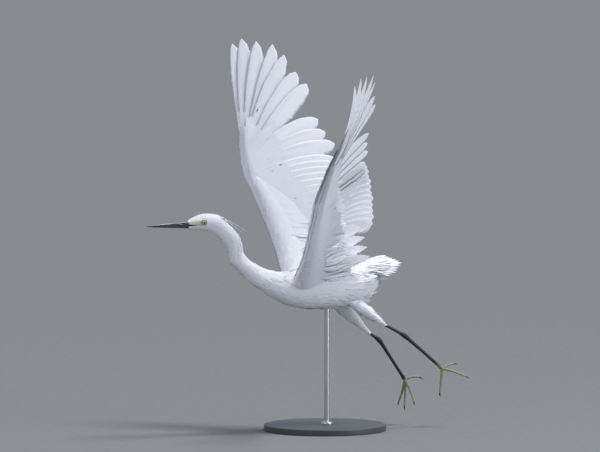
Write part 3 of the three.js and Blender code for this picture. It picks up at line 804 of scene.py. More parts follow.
# Shares of the way out along the wing, with the feathers' lean back from the span and the coverts' length.
FEATHER_LEAN = ([0, 0.5, 1.0, 1.1, 1.3, 1.5, 1.7, 1.94], [94, 94, 80, 74, 58, 36, 16, 0])
MIDDLE_LENGTH = ([0, 0.5, 1.0, 1.6, 1.94], [52, 54, 50, 44, 34])


def covert_rows(flight, cover, start, rise, reach, side):
    """Long coverts over the roots of the flight feathers, two to a feather, bent as it is."""
    rows, places = [], []
    for i in range(len(flight) - 1):
        a, b = flight[i], flight[i + 1]
        for mid in (0.0, 0.5):
            keys = ("root", "along", "back", "up", "length", "bow", "arch", "lift")
            row = {k: a[k] * (1 - mid) + b[k] * mid for k in keys}
            row["along"], row["back"], row["up"] = (unit(row[k]) for k in ("along", "back", "up"))
            row["full"] = row["length"]
            row["length"] = row["full"] * cover * rng.uniform(0.93, 1.05) - start
            row["start"] = start
            row["raise"] = side * rise
            row["lead"], row["trail"] = reach * 0.7, reach
            row["tilt"] = 6
            rows.append(row)
            places.append(1 - (i + mid) / len(flight))
    return rows, places


def middle_rows(wing, back, side):
    """Coverts that run from the flesh of the wing down over the roots of the long coverts."""
    rows, places = [], []
    for share in np.arange(0.02, 1.93, MIDDLE_GAP):
        share = share + rng.uniform(-0.3, 0.3) * MIDDLE_GAP
        spot = wing.surface(share, back + rng.uniform(-0.04, 0.04), side)
        centre, span, chord, up = wing.axis(share)
        lean = float(np.interp(share, *FEATHER_LEAN))
        level = unit(span * math.cos(lean * DEG) + chord * math.sin(lean * DEG))
        size = float(np.interp(share, *MIDDLE_LENGTH)) * rng.uniform(0.88, 1.1)
        height = side * np.dot(spot - centre, up)
        lie = unit(level * size - up * side * max(0.0, height - MIDDLE_END_HEIGHT))
        outward = square(up * side, lie)
        root = spot - outward * 0.4
        rows.append(vane(root, lie, outward, size, size * 0.16, arch=1.2, tilt=rng.normal(0, 2)))
        places.append(share / 2)
    return rows, places


def lesser_rows(wing, back, side):
    """One row of small coverts over the flesh of the wing, at a share of the way back across it."""
    rows, places = [], []
    length = 10 + 13 * back
    gap = length * 0.0014
    for share in np.arange(-0.02, 1.99, gap):
        share = share + rng.uniform(-0.4, 0.4) * gap
        here = min(max(back + rng.uniform(-0.03, 0.03), 0.02), 0.98)
        spot = wing.surface(share, here, side)
        _, span, chord, up = wing.axis(share)
        fall = wing.surface(share, min(here + 0.05, 0.99), side) - wing.surface(share, here - 0.02, side)
        steep = np.dot(fall, up) / np.dot(fall, chord)
        slope = unit(chord + up * side * np.clip(steep * side, -STEEPEST_REAR, STEEPEST_FRONT))
        lean = 52 if share > 1 else 70 + 12 * (1 - share)
        lean += rng.normal(0, 4)
        lie = unit(span * math.cos(lean * DEG) + slope * math.sin(lean * DEG))
        outward = square(wing.normal(share, here, side), lie)
        size = length * rng.uniform(0.85, 1.15)
        row = vane(spot - outward * 0.9, unit(lie + outward * 0.035), outward, size, size * 0.23, arch=0.3)
        row["back"] = unit(np.cross(outward, lie))
        rows.append(row)
        places.append(share / 2)
    return rows, places


def wing_coverts(name, wing, flight, side, tile):
    """All the coverts of one face of a wing, from the longest to the smallest."""
    coat = Coat()

    def lay(rows, places, across, steps, columns, **shape):
        spots = patch(f"wing_{name}_{tile}", np.array(places), across)
        coat.add(mirrored(stack(rows), wing.mirror), COVERT, steps, columns, spots, **shape)

    long_soft = wing.pose["covert_soft"] if side > 0 else 0.0
    for cover, start, rise, reach, across in LONG_COVERTS:
        made = covert_rows(flight, cover, start, rise, reach, side)
        lay(*made, across, 12, 5, ragged=0.15, crown=0.03 * side, thick=0.25, shaft=0.1, soft=long_soft)
    for back in MIDDLE_COVERTS:
        made = middle_rows(wing, back, side)
        lay(*made, 0.6 * back + 0.02, 10, 5, ragged=0.18, crown=0.03, thick=0.22, shaft=0.05, soft=0.85)
    for back in LESSER_COVERTS:
        made = lesser_rows(wing, back, side)
        lay(*made, 0.6 * back + 0.02, 6, 3, ragged=0.15, crown=0.04, thick=0.2, shaft=0.0, soft=0.85)
    coat.build(f"wing_coverts_{name}_{tile}", COVERT_FEATHER)


def wing_feathers(name):
    wing = Wing(WINGS[name])
    flight = wing.flight()
    for i, f in enumerate(flight):
        primary = f["kind"] == "primary"
        width = f["width"] * (wing.pose["primary_width"] if primary else INNER_WIDTH)
        f["lead"], f["trail"] = width * LEAD_SHARE, width * (1 - LEAD_SHARE)
        f["tilt"] = wing.pose["primary_tilt"] if primary else INNER_TILT
        f["length"] *= 1 + 0.012 * math.sin(2.3 * i)

    coat = Coat()
    shares = 1 - np.arange(len(flight)) / len(flight)
    pointed = np.array([f["pointed"] for f in flight])
    tertial = np.array([f["kind"] == "tertial" for f in flight])
    table = mirrored(stack(flight), wing.mirror)
    for kind, profile, ragged in (
        (pointed, wing.pose["tips"], wing.pose["ragged"]),
        (~pointed & ~tertial, ROUNDED, 0.08),
        (tertial, LOOSE, 0.3),
    ):
        chosen = {k: v[kind] for k, v in table.items()}
        spots = patch(f"wing_{name}_up", shares[kind], 0.95)
        coat.add(chosen, profile, 44, 9, spots, ragged=ragged, crown=0.02, thick=0.35, shaft=0.35)
    coat.build(f"flight_feathers_{name}", FLIGHT_FEATHER, [f"wing_{name}"])
    for side, tile in ((1, "up"), (-1, "low")):
        wing_coverts(name, wing, flight, side, tile)
    return wing


TAIL_FEATHERS = 12
TAIL_ROOT = vec(74, 0, 311)
TAIL_ROLL = 28 * DEG
TAIL_STACK = 0.6
TAIL_LENGTH = 86
TAIL_COVERTS = (62, 48, 34)


def rolled(v):
    c, s = math.cos(TAIL_ROLL), math.sin(TAIL_ROLL)
    return vec(v[0], v[1] * c - v[2] * s, v[1] * s + v[2] * c)


def tail_row(out, length, drop, depth):
    """A feather of the tail, out counting from the middle to each side."""
    sign = -1 if out < 0 else 1
    spread = out * 5 * DEG
    along = rolled(unit(vec(math.cos(spread), math.sin(spread), math.tan(drop * DEG))))
    outward = rolled(vec(-math.sin(spread), math.cos(spread), 0)) * sign
    up = np.cross(along, outward) * sign
    root = TAIL_ROOT + rolled(vec(6, out * 1.3, depth))
    return {"root": root, "along": along, "back": outward, "up": up, "length": length,
            "lead": 9, "trail": 8.5, "arch": 1.5, "tilt": -6, "bow": 0}


def tail_coverts(coat, side, depth, count, reach):
    """One row of loose feathers over the roots of the tail, side 1, or under them, side -1."""
    rows = []
    for out in np.linspace(-6, 6, count):
        out = out + rng.normal(0, 0.2)
        drop = side * 2 + 2 - 0.3 * abs(out) + rng.normal(0, 2)
        short = 1 - 0.05 * max(0.0, -out)
        length = reach * short * rng.uniform(0.9, 1.12)
        row = tail_row(out, length, drop, depth - TAIL_STACK * abs(out))
        row["root"] = row["root"] + vec(rng.uniform(-4, 4) - (TAIL_COVERTS[0] - reach) * 0.1, 0, 0)
        row["lead"] = row["trail"] = 5.5
        row["arch"] = 2.5 * side
        rows.append(row)
    spots = patch("tail", np.linspace(0, 1, count), 0.3 + 0.2 * side + reach / 400)
    coat.add(stack(rows), TUFT, 12, 5, spots, ragged=0.45, crown=0.03, thick=0.22, shaft=0.0, soft=0.7)


def tail_feathers():
    coat = Coat()
    rows = []
    for i in range(TAIL_FEATHERS):
        out = i - (TAIL_FEATHERS - 1) / 2
        shorter = 1.4 if out > 0 else 6
        length = (TAIL_LENGTH - abs(out) * shorter) * rng.uniform(0.93, 1.03)
        rows.append(tail_row(out, length, 3 - 0.3 * abs(out), 2.5 - TAIL_STACK * abs(out)))
    spots = patch("tail", np.linspace(0, 1, len(rows)), 0.9)
    coat.add(stack(rows), LOOSE, 34, 9, spots, ragged=0.3, crown=0.02, thick=0.35, shaft=0.2, soft=0.6)
    for side, depth, count in ((1, 4.5, 17), (-1, -3.5, 15)):
        for reach in TAIL_COVERTS:
            tail_coverts(coat, side, depth, count, reach)
    coat.build("tail_feathers", FLIGHT_FEATHER, ["tail"])


# Small feathers of the head, neck and body

def tuft_size(t):
    """Length of the small feathers at a place along the body."""
    return float(np.interp(t, (0, 1, 3, 5, 8, 12, 15, 18, LAST_SECTION), (3, 4, 5.5, 7, 9, 12, 15, 18, 20)))


def bare(spot):
    """Whether a place on the head has no feathers: the eye, the lore ahead of it and the gape."""
    from_eye = math.hypot(spot[0] - EYE["x"], spot[2] - EYE["z"])
    if abs(spot[1]) > 3 and from_eye < 6.4:
        return True
    if spot[0] > LORE["back"]:
        return False
    from_bill = spot[0] - LORE["front"]
    return LORE["low"] + 0.02 * from_bill - 3 < spot[2] < LORE["high"] + LORE["rise"] * from_bill


def run_at(t):
    """Length of a section's step over the surface, along the back or the belly if that is longer."""
    ahead = min(t + 0.1, LAST_SECTION)
    return max(np.linalg.norm(body_point(ahead, a) - body_point(t, a)) for a in (0, math.pi)) / 0.1


def girth_at(t):
    width = np.linalg.norm(body_point(t, math.pi / 2) - body_point(t, -math.pi / 2))
    depth = np.linalg.norm(body_point(t, 0) - body_point(t, math.pi))
    return math.pi * max(width, depth)


def body_rows(t_from, t_to, looseness, spacing):
    """Small feathers in rings along the body, each lying backwards over the next ring."""
    rows, places = [], []
    t = t_from
    while t < t_to:
        length = tuft_size(t)
        step = length * spacing
        run = run_at(t)
        count = max(10, int(girth_at(t) / (step * 0.62)))
        shift = rng.random()
        for k in range(count):
            turn = 2 * math.pi * (k + shift + rng.uniform(-0.3, 0.3)) / count
            here = min(max(t + rng.uniform(-0.5, 0.5) * step / run, 0.02), LAST_SECTION - 0.05)
            spot = body_point(here, turn, coat_depth(here) + 0.2)
            if here < HEAD_END and bare(spot):
                continue
            along = unit(body_point(min(here + 0.05, LAST_SECTION), turn) - body_point(here, turn))
            beside = body_point(here, turn + 0.02) - body_point(here, turn - 0.02)
            outward = unit(np.cross(beside, along))
            if np.dot(outward, spot - body_point(here, turn, 6)) < 0:
                outward = -outward
            side = unit(np.cross(outward, along))
            # Feathers fall a little towards the belly along the flanks.
            fall = 0.16 * abs(math.sin(turn)) * (1 if side[2] < 0 else -1)
            lie = unit(along + side * (fall + rng.normal(0, 0.10 * looseness)))
            size = length * rng.uniform(0.8, 1.25)
            lie = unit(lie + outward * (0.03 + 0.4 / size + 0.04 * looseness * abs(rng.normal())))
            rows.append(vane(
                spot, lie, outward, size, size * 0.15,
                arch=size * 0.02, bow=rng.normal(0, size * 0.03), tilt=rng.normal(0, 8), curl=-size * 0.04,
            ))
            places.append((here / LAST_SECTION, (turn / (2 * math.pi)) % 1.0))
        t += step / run
    return rows, np.array(places)


def body_coat(name, t_from, t_to, looseness, spacing):
    rows, places = body_rows(t_from, t_to, looseness, spacing)
    tuft_piece(name, rows, "body", places[:, 0], places[:, 1], 7, ragged=0.35)


# section is where the thigh leaves the body, tint_from how far down the shank the black ends.
LEGS = {
    "right": {
        "hip": vec(22, 20, 256), "cuff": vec(105, 25.5, 184), "ankle": vec(128.6, 26, 168.1),
        "hub": vec(183.6, 26, 88.7), "section": 16.9, "tint_from": 0.94,
        "toes": {
            "hallux": (vec(199, 23, 96), vec(211.6, 20, 92.7)),
            "inner": (vec(193, 18, 70), vec(195.7, 10, 46.2)),
            "middle": (vec(190, 34, 66), vec(188, 36, 36)),
            "outer": (vec(187, 38, 70), vec(182, 50, 42)),
        },
    },
    "left": {
        "hip": vec(42, -19, 254), "cuff": vec(113, -28, 203.5), "ankle": vec(156.4, -30, 179.5),
        "hub": vec(235, -34, 113.2), "section": 17.4, "tint_from": 0.84,
        "toes": {
            "hallux": (vec(248, -34, 121), vec(259.5, -34, 121.4)),
            "inner": (vec(240, -23, 92), vec(241, -14, 67.3)),
            "middle": (vec(233, -34, 92), vec(230.1, -34, 66)),
            "outer": (vec(258, -43, 108), vec(279.1, -50, 97.3)),
        },
    },
}
THIGH = ([0, 0.2, 0.45, 0.7, 0.9, 1], [10, 12.5, 12, 8.2, 5, 3.9])
TOE_RADII = [3.4, 2.5, 2.7, 2.1, 2.4, 1.9, 2.1, 1.7]
CLAW_LENGTH = {"hallux": 10, "inner": 7.5, "middle": 8.5, "outer": 7}
# How far the shank's colour has gone towards the toes' where the foot begins.
FOOT_GRADE = 0.86
# Where the loose feathers under the tail grow: sections of the body, and turn to each side of the belly.
VENT = {"from": 18.6, "to": 21.7, "spread": 2.5}
# Root and tip of each nape plume.
PLUMES = [
    (vec(-223, -2.6, 419), vec(-166.5, -4.5, 388)),
    (vec(-223, 2.6, 418.5), vec(-169.5, 4.5, 384)),
]
LIMB_INSET = 2.0


def thigh_rings(leg, inset):
    shares = np.linspace(0, 1, 24)
    centres = [leg["hip"] + (leg["cuff"] - leg["hip"]) * s for s in shares]
    return tube_rings(centres, np.maximum(np.interp(shares, *THIGH) - inset, 2.0), 20)


def thigh_coat(name, leg):
    rows, places = [], []
    down = leg["cuff"] - leg["hip"]
    reach = np.linalg.norm(down)
    along = down / reach
    side0 = unit(np.cross((0, 1, 0), along))
    up0 = np.cross(along, side0)
    at = 0.2
    while at < 1.0:
        radius = float(np.interp(at, *THIGH))
        length = float(np.interp(at, (0, 0.5, 1), (24, 16, 8)))
        count = max(9, int(2 * math.pi * radius / (length * 0.17)))
        shift = rng.random()
        for k in range(count):
            turn = 2 * math.pi * (k + shift) / count
            outward = side0 * math.cos(turn) + up0 * math.sin(turn)
            spot = leg["hip"] + along * reach * at + outward * (radius - 1.6)
            lie = unit(along + outward * 0.06 + np.cross(along, outward) * rng.normal(0, 0.08))
            size = length * rng.uniform(0.85, 1.2)
            row = vane(spot, lie, outward, size, size * 0.16, arch=size * 0.04, curl=-size * 0.10)
            row["back"] = np.cross(outward, along)
            row["tilt"] = rng.normal(0, 8)
            rows.append(row)
            places.append((at, k / count))
        at += length * 0.3 / reach
    places = np.array(places)
    tuft_piece(
        f"thigh_coat_{name}", rows, f"thigh_{name}", places[:, 0], places[:, 1], 7, [f"thigh_{name}"],
        ragged=0.35, soft=0.8,
    )


def hip_fluff(name, leg):
    """Longer loose feathers that run from the flank over the top of the thigh."""
    side = -1 if name == "left" else 1
    down = unit(leg["cuff"] - leg["hip"])
    rows = []
    for _ in range(170):
        t = leg["section"] + rng.uniform(-1.3, 1.4)
        turn = side * math.pi * rng.uniform(0.55, 0.98)
        spot = body_point(t, turn, coat_depth(t) + 0.5)
        outward = unit(spot - body_point(t, turn, 12))
        back = unit(body_point(t + 0.1, turn) - body_point(t, turn))
        share = rng.uniform(0.25, 0.75)
        lie = unit(back * (1 - share) + down * share)
        lie = unit(lie - outward * np.dot(lie, outward) + outward * 0.07)
        size = rng.uniform(18, 30)
        rows.append(vane(spot, lie, outward, size, size * 0.13, arch=1.0, curl=-1.5, tilt=rng.normal(0, 6)))
    tuft_piece(f"hip_fluff_{name}", rows, "body", 0.8, np.linspace(0.3, 0.7, len(rows)))


def vent_fluff():
    """Ragged feathers that hang loose from the rear of the belly under the tail."""
    rows = []
    for _ in range(260):
        t = rng.uniform(VENT["from"], VENT["to"])
        turn = math.pi + rng.uniform(-VENT["spread"], VENT["spread"])
        spot = body_point(t, turn, coat_depth(t) + 0.6)
        outward = unit(spot - body_point(t, turn, 12))
        back = unit(body_point(t + 0.1, turn) - body_point(t, turn))
        raised = outward * rng.uniform(0.05, 0.4)
        lie = unit(back + raised + vec(0, rng.normal(0, 0.12), rng.normal(0, 0.1)))
        outward = square(outward, lie)
        size = rng.uniform(17, 30)
        rows.append(vane(spot, lie, outward, size, size * 0.10, arch=1.0, curl=-2.0, tilt=rng.normal(0, 8)))
    tuft_piece("vent_fluff", rows, "body", 0.95, np.linspace(0.3, 0.7, len(rows)))


def scapulars(name, wing):
    """Long loose feathers from the shoulder over the innermost flight feathers, above and below."""
    rows = []
    for side, count in ((1, 16), (-1, wing.pose["axillaries"])):
        for _ in range(count):
            share = rng.uniform(-0.04, 0.2) if side > 0 else rng.uniform(-0.02, 0.36)
            back = rng.uniform(0.6, 0.92)
            spot = wing.surface(share, back, side)
            _, span, chord, up = wing.axis(share)
            lean = rng.uniform(84, 100)
            lie = unit(span * math.cos(lean * DEG) + chord * math.sin(lean * DEG) + up * side * 0.02)
            size = rng.uniform(44, 74) * (1.1 - back * 0.3)
            outward = square(up * side, lie)
            rows.append(vane(spot, lie, outward, size, 6.5, arch=2.5, curl=-4.0, tilt=rng.normal(0, 5)))
    coat = Coat()
    spots = patch(f"wing_{name}_up", 0.1, np.linspace(0.3, 0.6, len(rows)))
    table = mirrored(stack(rows), wing.mirror)
    coat.add(table, LOOSE, 20, 5, spots, ragged=0.35, crown=0.04, thick=0.25, shaft=0.1)
    coat.build(f"scapulars_{name}", COVERT_FEATHER)


def nape_plumes():
    """Two long narrow plumes from the nape and shorter loose feathers round their roots."""
    rows = []
    for root, tip in PLUMES:
        along = unit(tip - root)
        up = unit(np.cross(along, (0, 1, 0))) * -1
        row = vane(root, along, up, np.linalg.norm(tip - root), 1.3, arch=2)
        row["back"] = vec(0, 1, 0)
        rows.append(row)
    for _ in range(12):
        turn = rng.uniform(-0.5, 0.5)
        t = rng.uniform(3.6, 5.2)
        root = body_point(t, turn, 1.5)
        along = unit(body_point(t + 0.1, turn) - body_point(t, turn))
        outward = unit(root - body_point(t, turn, 8))
        along = unit(along + outward * rng.uniform(0.02, 0.10) + vec(0.06, 0, 0))
        rows.append(vane(root, along, outward, rng.uniform(9, 16), 1.1, arch=1))
    for row in rows:
        if row["up"][2] < 0:
            row["up"] = -row["up"]
    coat = Coat()
    spots = patch("body", 0.2, np.linspace(0.02, 0.2, len(rows)))
    coat.add(stack(rows), STRAP, 14, 5, spots, ragged=0.06, crown=0.1, thick=0.5, shaft=0.1)
    coat.build("nape_plumes", BODY_FEATHER)


# Skin: one smooth surface under all the feathers

def body_skin(wings):
    """The flesh of the body, wings, thighs and tail, made one surface by a fine remesh."""
    turns = 2 * math.pi * np.arange(48) / 48
    body = [[body_point(t, a, coat_depth(t)) for a in turns] for t in np.linspace(0, LAST_SECTION, 120)]
    cores = [wing.core_rings(LIMB_INSET) for wing in wings]
    thighs = [thigh_rings(leg, LIMB_INSET) for leg in LEGS.values()]
    tail = tube_rings([TAIL_ROOT + vec(x, 0, 0) for x in (-14, 0, 20, 34)], [8, 9, 8, 4], 16)
    points, faces = joined(loft(rings) for rings in [body, *cores, *thighs, tail])
    piece = make("body_skin", points, faces, SKIN)
    remesh = piece.modifiers.new("one_surface", "REMESH")
    remesh.mode = "VOXEL"
    remesh.voxel_size = 1.5 * MM
    remesh.use_smooth_shade = True
    smooth = piece.modifiers.new("soft", "SMOOTH")
    smooth.iterations = 4
    bpy.context.view_layer.objects.active = piece
    piece.select_set(True)
    for modifier in ("one_surface", "soft"):
        bpy.ops.object.modifier_apply(modifier=modifier)
    piece.select_set(False)
    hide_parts("head", "neck_upper", "neck_lower", "torso")


# Bill, eyes and lids

BILL_BASE_X = -290.45
BILL_TIP_X = -375.9
MOUTH_Z = 405.4
# Share of the way to the tip, depth and half width.
UPPER_BILL = [
    (0, 7.7, 5.6), (0.2, 6.3, 4.6), (0.5, 4.5, 3.4), (0.8, 2.7, 2.2), (0.95, 1.3, 1.2), (1, 0.4, 0.4),
]
LOWER_BILL = [
    (0, 6.4, 5.2), (0.2, 5.0, 4.3), (0.5, 3.5, 3.1), (0.8, 2.0, 1.9), (0.94, 0.9, 1.0), (0.975, 0.4, 0.4),
]
LID = {"reach": 4.75, "outward": 3.15, "fold": 0.75, "count": 64, "around": 12}


def groove_depth(share, level):
    """Depth of the long groove on the upper half's side, with the slit of the nostril in it."""
    groove = hill(level, 0.52, 0.16) * float(np.interp(share, (0, 0.06, 0.3, 0.5), (0.2, 1, 0.7, 0)))
    slit = hill(level, 0.45, 0.09) * hill(share, 0.15, 0.055, 4)
    return 0.45 * groove + 1.5 * slit


def mandible(name, table, direction, node):
    """Half of the bill: direction 1 for the upper half, -1 for the lower."""
    shares, highs, wides = np.array(table).T
    rings = []
    for share in np.linspace(-0.05, shares[-1], 90):
        high = np.interp(share, shares, highs)
        wide = np.interp(share, shares, wides)
        x = BILL_BASE_X + (BILL_TIP_X - BILL_BASE_X) * share
        line = MOUTH_Z - 0.7 * share + direction * 0.12
        ring = []
        for k in range(29):
            turn = math.pi * k / 28
            y, z = wide * math.cos(turn), high * math.sin(turn) ** 0.8
            if direction > 0 and abs(y) > 1.8:
                y -= math.copysign(groove_depth(share, z / high), y)
            ring.append(vec(x, y, line + direction * z))
        rings.append(ring)
    points, faces = loft(rings)
    if direction < 0:
        faces = [tuple(reversed(face)) for face in faces]
    make(name, points, faces, BILL, replaced=[node])


def eye(side, name):
    """Eyeball with a slightly raised cornea."""
    turn = 2 * math.pi * np.arange(48) / 48
    rings = []
    for polar in np.linspace(0.02, math.pi - 0.02, 40):
        radius = EYE["radius"] + 0.35 * hill(polar, 0, 0.55)
        x = EYE["x"] + radius * math.sin(polar) * np.cos(turn)
        y = np.full(48, side * (EYE["y"] + radius * math.cos(polar)))
        z = EYE["z"] + radius * math.sin(polar) * np.sin(turn)
        rings.append(np.stack([x, y, z], -1))
    points, faces = loft(rings)
    if side < 0:
        faces = [tuple(reversed(face)) for face in faces]
    make(name, points, faces, IRIS, replaced=[name])


def lid(side, name):
    """A closed ring of skin round the eye, a little wrinkled and less high than long."""
    small = 2 * math.pi * np.arange(LID["around"]) / LID["around"]
    rings = []
    for turn in 2 * math.pi * np.arange(LID["count"]) / LID["count"]:
        reach = LID["reach"] * (0.90 + 0.10 * abs(math.cos(turn)) ** 0.8)
        x = EYE["x"] + reach * math.cos(turn)
        z = EYE["z"] + reach * 0.93 * math.sin(turn)
        out = vec(math.cos(turn), 0, math.sin(turn))
        fold = LID["fold"] + 0.06 * math.sin(9 * turn)
        away = np.outer(fold * np.cos(small), out)
        sideways = np.outer(fold * 1.1 * np.sin(small), vec(0, side, 0))
        rings.append(vec(x, side * (EYE["y"] + LID["outward"]), z) + away + sideways)
    faces = np.array(loft_faces(LID["count"] + 1, LID["around"])[:-2]) % (LID["count"] * LID["around"])
    if side < 0:
        faces = faces[:, [0, 3, 2, 1]]
    make(f"lid_{name}", np.concatenate(rings), faces.tolist(), LID_SKIN)


# Legs and feet

def bezier(a, b, c, t):
    return a * (1 - t) ** 2 + b * 2 * t * (1 - t) + c * t**2


def scaled_tube(centres, radii, grade, pitch, depth, around=20):
    """A tube with cross scutes on its front, and its place from shank (0) to toe (1) for the colour."""
    wave = (distances(centres) / pitch) % 1.0
    ridges = depth * (1 - wave) ** 0.5 - depth * 0.5
    points, faces = loft(tube_rings(centres, radii, around, ridges))
    scale = np.stack([np.tile(np.linspace(0, 1, around), len(radii)), np.repeat(grade, around)], -1)
    return points, faces, scale


def resample(stations, step=0.55):
    """A fine line and its softened radii through a list of (point, radius)."""
    points = np.array([p for p, _ in stations])
    radii = np.array([r for _, r in stations])
    at = distances(points)
    fine = np.linspace(0, at[-1], int(at[-1] / step) + 2)
    line = np.stack([np.interp(fine, at, points[:, k]) for k in range(3)], -1)
    soft = np.pad(np.interp(fine, at, radii), 2, mode="edge")
    return line, np.convolve(soft, np.ones(5) / 5, mode="valid")


def shank(name, shape):
    """The leg from the end of the thigh to the foot, thick at the ankle, with its scutes."""
    cuff, ankle = shape["cuff"], shape["ankle"]
    down = unit(cuff - shape["hip"])
    shin = unit(ankle - cuff)
    foot_line = shape["hub"] - ankle
    length = np.linalg.norm(foot_line)
    foot_line = foot_line / length
    stations = [
        (cuff - down * 6, 3.0),
        (cuff + down * 3, 2.9),
        (cuff + down * 3 + shin * 6, 2.7),
        (ankle - shin * 12, 3.1),
        (ankle - shin * 4, 4.6),
    ]
    near_ankle = [(3, 4.8), (11, 3.6), (length * 0.5, 2.9)]
    near_foot = [(length - 14, 3.1), (length - 3, 3.9), (length + 2, 3.0)]
    stations += [(ankle + foot_line * at, radius) for at, radius in near_ankle + near_foot]
    centres, radii = resample(stations)
    lengths = distances(centres)
    grade = np.interp(lengths / lengths[-1], (0, shape["tint_from"], 1), (0, 0.5, FOOT_GRADE))
    points, faces, scale = scaled_tube(centres, radii, grade, 3.4, 0.10)
    uvs = {"scale": scale}
    make(f"shank_skin_{name}", points, faces, LEG, uvs=uvs, replaced=[f"shank_{name}"])


def foot(name, shape):
    """Four scaled toes, each with its own claw."""
    parts, scales = [], []
    t = np.linspace(0, 1, 90)
    radii = np.interp(t, np.linspace(0, 1, len(TOE_RADII)), TOE_RADII)
    grade = np.interp(t, (0, 1), (FOOT_GRADE, 1.0))
    for toe, (knuckle, tip) in shape["toes"].items():
        centres = np.array([bezier(shape["hub"], knuckle, tip, s) for s in t])
        points, made, scale = scaled_tube(centres, radii, grade, 2.5, 0.16, 16)
        parts.append((points, made))
        scales.append(scale)
        claw_piece(f"{toe}_{name}", toe, knuckle, tip)
    points, faces = joined(parts)
    uvs = {"scale": np.concatenate(scales)}
    make(f"foot_skin_{name}", points, faces, LEG, uvs=uvs, replaced=[f"foot_{name}"])


def claw_piece(label, toe, knuckle, tip):
    ahead = unit(tip - knuckle)
    curl = vec(-ahead[2], 0, ahead[0]) * (-1 if ahead[0] > 0 else 1)
    length = CLAW_LENGTH[toe]
    shares = np.linspace(-0.15, 1, 24)
    centres = [tip + ahead * length * s + curl * 2.2 * s * abs(s) for s in shares]
    radii = np.interp(shares, (-0.15, 0, 0.35, 0.7, 1), (1.4, 1.65, 1.3, 0.8, 0.15))
    points, faces = loft(tube_rings(centres, radii, 14))
    make(f"claw_skin_{label}", points, faces, CLAW, replaced=[f"claw_{label}"])


# Stand, floor, light and camera

AXIS_RADIUS = 0.01
ROD_RADIUS = 5.0
# Radius and height over the base of the collar that holds the rod.
COLLAR = [
    (AXIS_RADIUS, 0), (10.4, 0), (11, 0.6), (11, 3), (10.6, 3.6), (9.6, 4.2), (6.0, 5.8), (ROD_RADIUS, 6.6),
]
FLOOR_REACH = 60000


def lathe(name, outline, x, material, node, around=128):
    """A turned shape round an upright axis at x, from pairs of radius and height."""
    turn = 2 * math.pi * np.arange(around) / around
    rings = [np.stack([x + r * np.cos(turn), r * np.sin(turn), np.full(around, z)], -1) for r, z in outline]
    points, faces = loft(rings)
    piece = make(name, points, faces, material, replaced=[node])
    edges = piece.modifiers.new("edges", "EDGE_SPLIT")
    edges.split_angle = 40 * DEG


def quarter(x, z, radius, start, steps=6):
    """Points of a quarter circle about (x, z), starting at an angle in degrees."""
    turns = [(start + 90 * k / steps) * DEG for k in range(steps + 1)]
    return [(x + radius * math.cos(turn), z + radius * math.sin(turn)) for turn in turns]


def disc_outline(radius, low, high, edge):
    """Outline of a disc with soft edges, the upper one softer."""
    under = edge * 0.4
    lower = quarter(radius - under, low + under, under, -90)
    upper = quarter(radius - edge, high - edge, edge, 0)
    return [(AXIS_RADIUS, low), *lower, *upper, (AXIS_RADIUS, high)]


def stand():
    base_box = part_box("stand_base")
    rod_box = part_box("stand_rod")
    radius = (base_box[1][0] - base_box[0][0]) / 2 / MM
    thick = base_box[1][2] / MM
    rod_x = (rod_box[0][0] + rod_box[1][0]) / 2 / MM
    rod_top = rod_box[1][2] / MM
    paint = stand_material("stand_base_paint", (0.035, 0.038, 0.042), (0.055, 0.058, 0.062), 0.5, 0.0)
    steel = stand_material("stand_rod_steel", (0.42, 0.43, 0.44), (0.60, 0.61, 0.62), 0.32, 1.0)
    base = disc_outline(radius, 0, thick, 2.0)
    collar = [(reach, thick + height) for reach, height in COLLAR]
    rod = [(ROD_RADIUS, rod_top - 1), (ROD_RADIUS - 1, rod_top), (AXIS_RADIUS, rod_top)]
    lathe("stand_base_disc", base, 0, paint, "stand_base")
    lathe("stand_rod_steel", collar + rod, rod_x, steel, "stand_rod", 64)


def floor():
    reach = FLOOR_REACH
    corners = [(-reach, -reach, 0), (reach, -reach, 0), (reach, reach, 0), (-reach, reach, 0)]
    make("floor", np.array(corners, float), [(0, 1, 2, 3)], floor_material(), body=None)


VIEW_AZIMUTH = -25
VIEW_ELEVATION = 4
CAMERA_DISTANCE = 12000
SENSOR_WIDTH = 36
FRAME_WIDTH = 1158
AIM = vec(-32.5, 44.5, 393.2)
# Lights, in metres: name, power, colour and place of the soft ones, and the point that they light.
SUN_FROM = vec(0.38, -0.10, 0.92)
SOFT_LIGHTS = [
    ("bounce", 52, (0.96, 0.97, 1.0), vec(2.4, -2.6, 0.9)),
    ("front_fill", 16, (0.94, 0.96, 1.0), vec(-3.0, -1.6, 1.6)),
]
LIT_POINT = vec(0, 0, 0.45)


def aimed(name, data, place, direction):
    """A light or a camera at a place in metres, looking along a direction."""
    piece = put(name, data)
    piece.location = place
    piece.rotation_mode = "QUATERNION"
    piece.rotation_quaternion = Vector(direction).to_track_quat("-Z", "Y")
    return piece


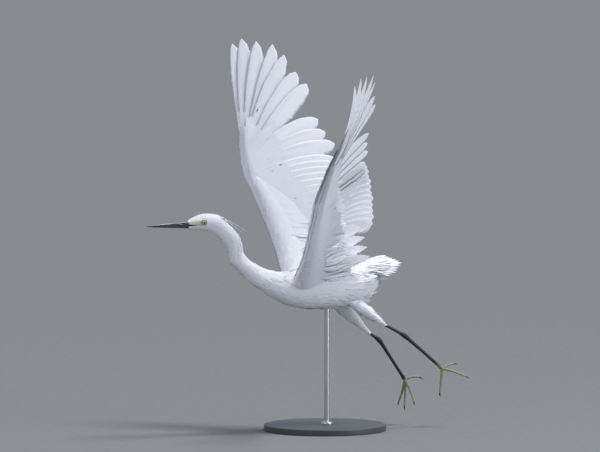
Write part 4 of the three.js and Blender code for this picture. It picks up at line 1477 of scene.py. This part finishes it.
def camera():
    """The photo's view, from a little above the bird's left side, with a long lens."""
    a, e = VIEW_AZIMUTH * DEG, VIEW_ELEVATION * DEG
    back = vec(math.sin(a) * math.cos(e), -math.cos(a) * math.cos(e), math.sin(e))
    data = bpy.data.cameras.new("camera")
    data.sensor_width = SENSOR_WIDTH
    data.lens = SENSOR_WIDTH * CAMERA_DISTANCE / FRAME_WIDTH
    data.clip_end = 100
    bpy.context.scene.camera = aimed("camera", data, (AIM + back * CAMERA_DISTANCE) * MM, -back)


def light(name, kind, power, colour, place, direction, **settings):
    data = bpy.data.lights.new(name, kind)
    data.energy = power
    data.color = colour
    for key, value in settings.items():
        setattr(data, key, value)
    aimed(name, data, place, direction)


def studio():
    bpy.context.scene.view_settings.view_transform = "Standard"
    world = bpy.data.worlds.new("studio")
    bpy.context.scene.world = world
    world.use_nodes = True
    sky = world.node_tree.nodes["Background"]
    sky.inputs[0].default_value = rgba(0.76, 0.83, 1.0)
    sky.inputs[1].default_value = 0.66
    light("key", "SUN", 2.5, (1.0, 0.98, 0.95), (0, 0, 0), -SUN_FROM, angle=14 * DEG)
    for name, power, colour, place in SOFT_LIGHTS:
        light(name, "AREA", power, colour, place, LIT_POINT - place, size=2.0)
    floor()


camera()
made_wings = [wing_feathers(name) for name in WINGS]
for wing_name, made_wing in zip(WINGS, made_wings):
    scapulars(wing_name, made_wing)
tail_feathers()
body_skin(made_wings)
body_coat("head_coat", 0.35, HEAD_END, 0.25, 0.355)
body_coat("neck_coat", HEAD_END, 13.2, 0.45, 0.34)
body_coat("torso_coat", 13.2, LAST_SECTION - 0.2, 0.9, 0.34)
nape_plumes()
vent_fluff()
mandible("upper_mandible", UPPER_BILL, 1, "bill_upper")
mandible("lower_mandible", LOWER_BILL, -1, "bill_lower")
for eye_side, eye_name in ((-1, "eye_left"), (1, "eye_right")):
    eye(eye_side, eye_name)
    lid(eye_side, eye_name)
for leg_name, leg_shape in LEGS.items():
    thigh_coat(leg_name, leg_shape)
    hip_fluff(leg_name, leg_shape)
    shank(leg_name, leg_shape)
    foot(leg_name, leg_shape)
stand()
studio()
